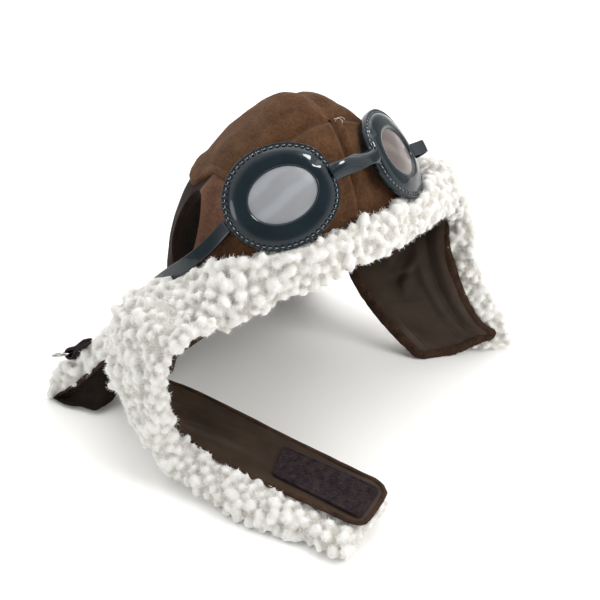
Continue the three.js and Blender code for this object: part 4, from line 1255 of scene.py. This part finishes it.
def stitch_ring(side, word):
    """Flattened beads of thread along the rim, one for each stitch, joined to one piece."""
    out, long_axis, short_axis, _ = goggle_axes(side)
    bpy.ops.object.select_all(action="DESELECT")
    bpy.ops.mesh.primitive_uv_sphere_add(segments=8, ring_count=5, radius=1.0)
    one = bpy.context.object
    copies = []
    for k in range(STITCH_COUNT):
        a = 2 * math.pi * (k + 0.5) / STITCH_COUNT
        long, short = rim_reach(a, side)
        x = lerp(LENS_LONG, long, STITCH_AT) * math.cos(a)
        y = lerp(LENS_SHORT, short, STITCH_AT) * math.sin(a)
        at = (goggle_point(side, x, y, STITCH_HIGH) + SHIFT) * MM
        along = (long_axis * -math.sin(a) * long + short_axis * math.cos(a) * short).normalized()
        across = out.cross(along).normalized()
        copy = one.copy()
        copy.data = one.data.copy()
        ways = [way * half for way, half in zip((along, across, out), STITCH_HALF)]
        turn = Matrix(ways).transposed().to_4x4()
        copy.data.transform(Matrix.Translation(at) @ turn)
        bpy.context.collection.objects.link(copy)
        copies.append(copy)
    bpy.data.objects.remove(one)
    bpy.ops.object.select_all(action="DESELECT")
    for copy in copies:
        copy.select_set(True)
    bpy.context.view_layer.objects.active = copies[0]
    bpy.ops.object.join()
    ring = bpy.context.object
    ring.name = f"rim_stitches_{word}"
    return ring


for word, side in SIDES:
    finish_piece(stitch_ring(side, word), thread, (), 60)


# %% Lenses
def lens_point(side):
    """A low dome of film that reaches a little under the rim."""
    def point(u, v):
        a = 2 * math.pi * u
        x = (LENS_LONG + 0.6) * v * math.cos(a)
        y = (LENS_SHORT + 0.6) * v * math.sin(a)
        bulge = 0.55 * (1 - v * v) + 0.12 * noise.noise(Vector((x / 6, y / 6, side)))
        return goggle_point(side, x, y, 0.35 + bulge)
    return point


def film_for(word, side, dark, light, tilt):
    """The film of one lens, whose painted reflection bands are tilted by so many degrees from its long axis.
    """
    out, _, short, centre = goggle_axes(side)
    across = (Matrix.Rotation(math.radians(tilt), 3, out) @ short).normalized()
    middle = across.dot((centre + SHIFT) * MM) + 0.0012
    return lens_film(f"lens_film_{word}", dark, light, across, middle)


film_right = film_for("right", -1, (0.232, 0.235, 0.247), (0.272, 0.284, 0.304), 16)
film_left = film_for("left", 1, (0.115, 0.090, 0.082), (0.150, 0.126, 0.118), -24)
for (word, side), film in zip(SIDES, (film_right, film_left)):
    lens = bent_grid(f"film_lens_{word}", 72, 14, lens_point(side), (34, 26))
    merge_close(lens, 0.00002)
    lens_out = goggle_axes(side)[0]
    face_towards(lens, lambda place: lens_out)
    apply_modifier(lens, "SOLIDIFY", thickness=0.0008, offset=-1.0)
    finish_piece(lens, film, [f"goggle_lens_{word}"], 60)

# %% [markdown]
# ### Bridge and band
#
# A folded strip of the same vinyl joins the rims, and a band runs from one rim round the
# back of the head to the other. A curve with a width could do it, but a narrow grid with a
# thickness and soft edges keeps its flat sides and can twist where the real one does.


# %% A strip that follows a line
def strip(name, stations, width, thick, crown, along):
    """stations(t) gives a point, the way out and the width direction at t from 0 to 1.

    The strip is width wide and thick thick in millimetres, and its middle is crown higher.
    """
    def point(u, v):
        place, out, wide = stations(v)
        s = 2 * u - 1
        return place + wide * (s * width / 2) + out * (crown * (1 - s * s))
    piece = bent_grid(name, 10, along, point, (width, 200))
    middle = [stations(i / 10)[:2] for i in range(11)]

    def outward(at):
        return min(middle, key=lambda pair: ((pair[0] + SHIFT) * MM - at).length)[1]
    face_towards(piece, outward)
    apply_modifier(piece, "SOLIDIFY", thickness=thick * MM, offset=0.0)
    apply_modifier(piece, "BEVEL", width=0.0003, segments=2, limit_method="ANGLE", angle_limit=1.0)
    return piece


# %% The bridge between the rims
BRIDGE_OVERLAP, BRIDGE_ARCH, BRIDGE_TWIST = 1.5, 2.6, math.radians(24)


def bridge_station(t):
    right, left = goggle_axes(-1), goggle_axes(1)
    reach = RIM_LONG * 0.91 - BRIDGE_OVERLAP
    start, end = goggle_point(-1, reach, 0, 0.2), goggle_point(1, -reach, 0, 0.2)
    out = right[0].lerp(left[0], t).normalized()
    along = (end - start).normalized()
    wide = out.cross(along).normalized()
    twist = Matrix.Rotation(BRIDGE_TWIST * math.sin(2 * math.pi * t), 3, along)
    return start.lerp(end, t) + out * BRIDGE_ARCH * math.sin(math.pi * t), twist @ out, twist @ wide


bridge = strip("vinyl_bridge", bridge_station, 7.8, 1.8, 1.7, 28)
finish_piece(bridge, vinyl, ["goggle_bridge"], 70)

# %% The band round the crown
band = strip("vinyl_band", band_station, 7.2, 1.6, 0.25, 150)
finish_piece(band, vinyl, ["goggle_band"], 70)

# %% The folded loop that joins the left rim to the band
LOOP_ROWS = ((25, 0, 1.2), (30, 0, 5), (34, 0, 8.4), (37, 0, 8.8), (39.5, 0, 5), (39, 0, -2))
LOOP_LINE = [Vector(row) for row in LOOP_ROWS]


def loop_station(t):
    out, long, short, _ = goggle_axes(1)
    place = through(LOOP_LINE, t)
    run = through(LOOP_LINE, t + 0.02) - through(LOOP_LINE, t - 0.02)
    along = (long * run.x + out * run.z).normalized()
    return goggle_point(1, place.x, place.y, place.z), short.cross(along).normalized() * -1, short


band_loop = strip("vinyl_loop", loop_station, 7.0, 1.3, 0.2, 40)
finish_piece(band_loop, vinyl, (), 70)
print("goggles done")


# %% A loose thread on the wool
THREAD_AT, THREAD_TURNS, THREAD_RADIUS = (11.3, -2.5, 163.9), 1.35, 0.11


def thread_point(u, v):
    """A thin round thread that curls a little more than once over the wool."""
    a = 2 * math.pi * u
    turn = 2 * math.pi * THREAD_TURNS * v
    spread = 1.6 + 0.9 * v
    east, north = Vector((0.75, -0.66, 0.0)), Vector((0.35, 0.4, 0.85))
    middle = dome((Vector(THREAD_AT) - CENTRE).normalized(), 1.0)
    centre = middle + east * (spread * math.cos(turn) - 2.2 * v)
    centre += north * (spread * math.sin(turn) * 0.8 - 1.5 * v)
    return centre + (east * math.cos(a) + north * math.sin(a)) * THREAD_RADIUS


loose_thread = bent_grid("loose_thread", 6, 46, thread_point, (1, 10))
merge_close(loose_thread, 0.000001)
finish_piece(loose_thread, pile_fibre, (), 80)

# %% [markdown]
# ## Linings
#
# The straps and flaps are lined with a thin brown satin. It is cut a little larger than the
# pile behind it, so it lies in soft slanting folds. A cloth simulation would put the folds
# anywhere. Here each one is a short ridge or valley with its own start, end, width and
# height, so that they lie as on the real hat: the sheet is bent first and folded by these.

# %% Folds: start u, v and end u, v on the sheet, width and height in millimetres
FOLD_NAMES = ("start", "end", "width", "high")
STRAP_FOLDS = table(FOLD_NAMES, [
    ((0.10, 0.34, 0), (0.62, 0.62, 0), 3.0, 1.6),
    ((0.34, 0.30, 0), (0.88, 0.56, 0), 2.8, 1.5),
    ((0.05, 0.50, 0), (0.50, 0.73, 0), 2.6, 1.4),
    ((0.55, 0.52, 0), (0.86, 0.72, 0), 2.6, -0.8),
    ((0.22, 0.30, 0), (0.70, 0.50, 0), 1.8, -1.2),
    ((0.30, 0.60, 0), (0.62, 0.73, 0), 2.2, 0.7),
])
FLAP_FOLDS = table(FOLD_NAMES, [
    ((0.20, 0.25, 0), (0.20, 0.90, 0), 1.3, -1.6),
    ((0.09, 0.20, 0), (0.08, 0.98, 0), 4.0, 2.2),
    ((0.30, 0.25, 0), (0.30, 0.80, 0), 3.4, 1.5),
    ((0.36, 0.30, 0), (0.66, 0.48, 0), 3.0, 1.8),
    ((0.30, 0.42, 0), (0.62, 0.62, 0), 2.6, 1.6),
    ((0.46, 0.26, 0), (0.80, 0.40, 0), 3.0, 1.4),
    ((0.34, 0.50, 0), (0.72, 0.56, 0), 1.6, -1.2),
    ((0.40, 0.66, 0), (0.86, 0.66, 0), 1.0, 0.7),
    ((0.84, 0.68, 0), (0.84, 0.92, 0), 0.7, -0.4),
    ((0.40, 0.68, 0), (0.40, 0.92, 0), 0.7, -0.4),
])
NAPE_FOLDS = table(FOLD_NAMES, [
    ((0.10, 0.30, 0), (0.14, 0.90, 0), 6.0, -1.4),
    ((0.30, 0.40, 0), (0.34, 0.95, 0), 7.0, -1.6),
    ((0.55, 0.30, 0), (0.52, 0.95, 0), 8.0, 1.4),
    ((0.80, 0.30, 0), (0.82, 0.95, 0), 7.0, -1.5),
])


def fold_height(folds, u, v, wide, long):
    """The sum of all folds at a place of a sheet of this size in millimetres."""
    at = Vector((u * wide, v * long))
    total = 0.0
    for fold in folds:
        start = Vector((fold["start"].x * wide, fold["start"].y * long))
        end = Vector((fold["end"].x * wide, fold["end"].y * long))
        line = end - start
        share = min(max((at - start).dot(line) / line.length_squared, 0.0), 1.0)
        ends = smooth(share, -0.001, 0.25) * (1 - smooth(share, 0.75, 1.001)) + 0.15
        total += fold["high"] * ends * math.exp(-((at - start - line * share).length / fold["width"]) ** 2)
    return total


def round_corner(u, v, wide, long, radius):
    """Pulls the two corners at v = 1 in, so that the sheet's end is rounded."""
    x, y = (u - 0.5) * wide, (v - 1) * long
    over_x, over_y = abs(x) - (wide / 2 - radius), y + radius
    if over_x > 0 and over_y > 0:
        squeeze = max(over_x, over_y) / math.hypot(over_x, over_y)
        x = math.copysign(wide / 2 - radius + over_x * squeeze, x)
        y = -radius + over_y * squeeze
    return x / wide + 0.5, y / long + 1


def sheet_point(surface, folds, wide, long, radius, from_v, ripple):
    def point(u, v):
        at_u, at_v = round_corner(u, lerp(from_v, 1.0, v), wide, long, radius)
        place, out = surface(at_u, at_v)
        wave = ripple * noise.noise(Vector((at_u * wide / 9, at_v * long / 16, 3)))
        placed = place - out * max(fold_height(folds, at_u, at_v, wide, long) + wave, -0.7)
        placed.z = max(placed.z, 0.9)
        return placed
    return point


# %% Cutting and folding the three linings
def measure(surface, from_v):
    """The width and the length of a ribbon in millimetres, along its middle."""
    steps = [from_v + (1 - from_v) * k / 60 for k in range(61)]
    long = sum((surface(0.5, b)[0] - surface(0.5, a)[0]).length for a, b in zip(steps, steps[1:]))
    across = [k / 40 for k in range(41)]
    wide = max(
        sum((surface(b, v)[0] - surface(a, v)[0]).length for a, b in zip(across, across[1:]))
        for v in steps)
    return wide, long


def make_lining(name, node, surface, folds, radius, from_v, ripple, cells, look_at):
    """A thin folded sheet over a surface, from from_v to its end; its face looks at look_at."""
    wide, long = measure(surface, from_v)
    point = sheet_point(surface, folds, wide, long / (1 - from_v), radius, from_v, ripple)
    piece = bent_grid(name, cells[0], cells[1], point, (wide, long))
    face_towards(piece, lambda at: Vector(look_at) - at)
    apply_modifier(piece, "SOLIDIFY", thickness=0.0012, offset=0.0)
    finish_piece(piece, satin, [node], 60)


make_lining("strap_satin", "strap_lining", strap, STRAP_FOLDS, 6.0, 0.16, 0.5, (40, 200),
            (0.01, 0.0, 0.09))
make_lining("flap_satin", "flap_lining", lifted_flap, FLAP_FOLDS, 4.0, 0.14, 0.7, (64, 120),
            (0.0, -0.02, 0.05))
make_lining("nape_satin", "nape_lining", nape, NAPE_FOLDS, 4.0, 0.02, 0.8, (150, 46),
            (0.0, 0.0, 0.04))

# %% The nape lining's corner, turned forward from the flap's right edge
TURNED_ROWS = ((-119.5, 91, 3.0), (-114.5, 75, 3.0), (-107.5, 65, 3.5), (-99, 63, 5), (-91, 66, 10))
TURNED_FOOT = [Vector(row) for row in TURNED_ROWS]


def turned_point(u, v):
    top, out = nape(0.004, lerp(0.985, 0.42, u))
    top -= out * 1.6
    foot = through(TURNED_FOOT, u)
    place = top.lerp(foot, v) + Vector((1.5, 1.5, -2.0)) * math.sin(math.pi * v)
    place += Vector((0.6, 0.6, 0.4)) * noise.noise(Vector((u * 5, v * 4, 1))) * 1.6
    place.z = max(place.z, 0.8)
    return place


# This turned corner reaches down to the floor under the nape flap and wears the near-black backing cloth, so
# it also stands in for the shadow there: partly painted shade.
turned = bent_grid("nape_turned_satin", 50, 30, turned_point, (45, 22))
face_towards(turned, lambda at: Vector((-0.2, -1.0, 0.2)))
apply_modifier(turned, "SOLIDIFY", thickness=0.001, offset=-1.0)
finish_piece(turned, backing_painted_shade, (), 60)

# %% [markdown]
# ## Hems
#
# Along each lining the suede of the backing is turned over and stitched down. The turned edge
# is a flattened roll, pulled in a little at every stitch. It is rusty where it is worn. A
# bevel on the thin satin wouldn't show it, so a closed grid is wrapped round the sheet's edge.


# %% A roll that follows an edge of a surface
def make_hem(name, surface, corners, half_wide, half_thick, lift, along):
    """A roll through the (u, v) corners of a surface, about along millimetres long."""
    places = [Vector((*corner, 0)) for corner in corners]
    lengths = [(b - a).length for a, b in zip(places, places[1:])]

    def at(t):
        left = min(max(t, 0.0), 1.0) * sum(lengths)
        for a, b, length in zip(places, places[1:], lengths):
            if left <= length or b is places[-1]:
                spot = a.lerp(b, min(left / length, 1.0))
                place, out = surface(spot.x, min(spot.y, 1.0))
                return place - out * lift, out
            left -= length

    def point(u, v):
        place, out = at(v)
        ahead, behind = at(min(v + 0.004, 1))[0], at(max(v - 0.004, 0))[0]
        run = (ahead - behind).normalized()
        wide = out.cross(run).normalized()
        a = 2 * math.pi * u
        ends = min(1.0, 8 * min(v, 1 - v) + 0.25)
        stitch = 1 - 0.10 * (0.5 + 0.5 * math.cos(v * along * 1.1))
        jag = 1 + 0.22 * noise.noise(Vector((v * along / 3.1, math.cos(a), math.sin(a))))
        result = place + wide * (half_wide * math.cos(a) * jag * ends)
        result += out * (half_thick * math.sin(a) * stitch * ends)
        result.z = max(result.z, 0.15)
        return result

    hem = bent_grid(name, 14, int(along), point, (20, along))
    merge_close(hem)
    finish_piece(hem, hem_suede, (), 60)


# %% The hems, along edges given as u across and v along
STRAP_EDGE = [
    (0.0, 0.30), (0.0, 0.5), (0.0, 0.7), (0.0, 0.965), (0.04, 0.985), (0.13, 0.998), (0.3, 1.0),
    (0.7, 1.0), (0.87, 0.998), (0.96, 0.985), (1.0, 0.965), (1.0, 0.7), (1.0, 0.5), (1.0, 0.22)]
STRAP_UPPER_EDGE = [(0.0, 0.09), (0.0, 0.34)]
FLAP_EDGE = [
    (0.0, 0.20), (0.0, 0.5), (0.0, 0.97), (0.06, 0.99), (0.5, 0.99), (0.94, 0.99), (1.0, 0.96),
    (1.0, 0.5), (1.0, 0.18)]
NAPE_EDGE = [
    (0.0, 0.15), (0.0, 0.6), (0.0, 0.95), (0.03, 0.99), (0.5, 0.99), (0.97, 0.99), (1.0, 0.95),
    (1.0, 0.6), (1.0, 0.15)]
make_hem("strap_hem", strap, STRAP_EDGE, 1.3, 1.0, 0.2, 300)
make_hem("strap_upper_hem", strap, STRAP_UPPER_EDGE, 2.2, 1.3, 5.4, 70)
make_hem("flap_hem", lifted_flap, FLAP_EDGE, 2.9, 1.1, 0.5, 260)
make_hem("nape_hem", nape, NAPE_EDGE, 1.4, 1.1, 0.0, 260)


# %% [markdown]
# ## Fastening pad, tab and ring
#
# The strap's loop pad is a patch of dark loops on a woven tape, sewn round its border. The
# nape flap carries a folded tab that holds a small wire ring. The pad is a rounded grid with
# noise for its loops, the tab is one more strip, and the ring is a plain torus.

# %% The loop pad
PAD_LONG, PAD_WIDE, PAD_END = 54.0, 21.0, 0.985


def pad_from():
    """The place along the strap where the pad starts, its length back from its end."""
    end = strap(0.5, PAD_END)[0]
    v = PAD_END
    while (strap(0.5, v)[0] - end).length < PAD_LONG:
        v -= 0.001
    return v


PAD_START = pad_from()


def pad_point(u, v):
    """A patch with rounded corners, a stitched border and a rough middle."""
    x, y = round_corner(u, v, PAD_WIDE, PAD_LONG, 2.2)
    x, y = round_corner(x, 1 - y, PAD_WIDE, PAD_LONG, 2.2)
    at_v = lerp(PAD_START, PAD_END, 1 - y)
    wide = (strap(1, at_v)[0] - strap(0, at_v)[0]).length
    place, out = strap(0.5 + (x - 0.5) * PAD_WIDE / wide, at_v)
    edge = min(min(u, 1 - u) * PAD_WIDE, min(v, 1 - v) * PAD_LONG)
    border = -0.5 * math.exp(-((edge - 1.5) / 0.5) ** 2)
    loops = 0.55 * noise.noise(Vector((x * PAD_WIDE, y * PAD_LONG, 0)) * 1.1) * smooth(edge, 1.2, 2.4)
    rim = smooth(edge, -0.4, 0.6)
    return place - out * (1.1 + 1.5 * rim + loops + border)


pad = bent_grid("loop_patch", 56, 140, pad_point, (PAD_WIDE, PAD_LONG))
face_towards(pad, lambda at: Vector((0, 0, 1)))
apply_modifier(pad, "SOLIDIFY", thickness=0.0008, offset=-1.0)
finish_piece(pad, loop_pile, ["strap_loop_pad"], 80)


# %% Where the tab stands
TAB_U, TAB_V, TAB_WIDE, TAB_LONG, TAB_FOLD, TAB_STAND = 0.005, 0.75, 8.0, 13.0, 2.6, 12.5
FOLD_SHARE = 0.36
tab_base, tab_out = nape(TAB_U, TAB_V)
tab_along = (nape(TAB_U, TAB_V + 0.03)[0] - tab_base).normalized()
tab_out = (tab_out - tab_along * tab_out.dot(tab_along)).normalized()
tab_wide = tab_along.cross(tab_out)
tab_at = tab_base + tab_out * TAB_STAND


def tab_station(t):
    """Along the lower layer, round the fold and back along the upper layer."""
    straight = 0.5 - FOLD_SHARE / 2
    if t < straight:
        flat, high, a = lerp(-TAB_LONG, 0.0, t / straight), 0.0, -math.pi / 2
    elif t > straight + FOLD_SHARE:
        share = (t - straight - FOLD_SHARE) / straight
        flat, high, a = lerp(0.0, -TAB_LONG, share), 2 * TAB_FOLD, math.pi / 2
    else:
        a = lerp(-math.pi / 2, math.pi / 2, (t - straight) / FOLD_SHARE)
        flat, high = TAB_FOLD * math.cos(a), TAB_FOLD + TAB_FOLD * math.sin(a)
    high = lerp(high, TAB_FOLD, 0.72 * smooth(-flat, 0.5, 4.5))
    normal = tab_along * math.cos(a) + tab_out * math.sin(a)
    return tab_at + tab_along * flat + tab_out * high, normal, tab_wide


tab = strip("fold_tab", tab_station, TAB_WIDE, 1.4, 0.3, 60)
finish_piece(tab, loop_pile, ["ring_tab"], 70)

# %% The ring
RING_RADIUS, RING_WIRE, RING_LIFT = 6.4, 0.8, 0.5
flat_way = (tab_along + tab_out * RING_LIFT).normalized()
ring_normal = flat_way.cross(tab_wide).normalized()
ring_at = tab_at + tab_out * TAB_FOLD + flat_way * RING_RADIUS
bpy.ops.object.select_all(action="DESELECT")
bpy.ops.mesh.primitive_torus_add(major_segments=72, minor_segments=14,
                                 major_radius=RING_RADIUS * MM, minor_radius=RING_WIRE * MM)
ring = bpy.context.object
ring.name = "wire_ring"
turn = Matrix((flat_way, tab_wide, ring_normal)).transposed().to_4x4()
ring.data.transform(Matrix.Translation((ring_at + SHIFT) * MM) @ turn)
finish_piece(ring, wire, ["ring"], 80)
print("tab at", tuple(round(x, 1) for x in tab_at), "ring at", tuple(round(x, 1) for x in ring_at))

# %% [markdown]
# ## Closing
#
# The shapes that were only scattered are removed.

# %% Close
for shapes in (TUFTS, FIBRE_SHAPES):
    for shape in list(shapes.objects):
        bpy.data.objects.remove(shape)
    bpy.data.collections.remove(shapes)
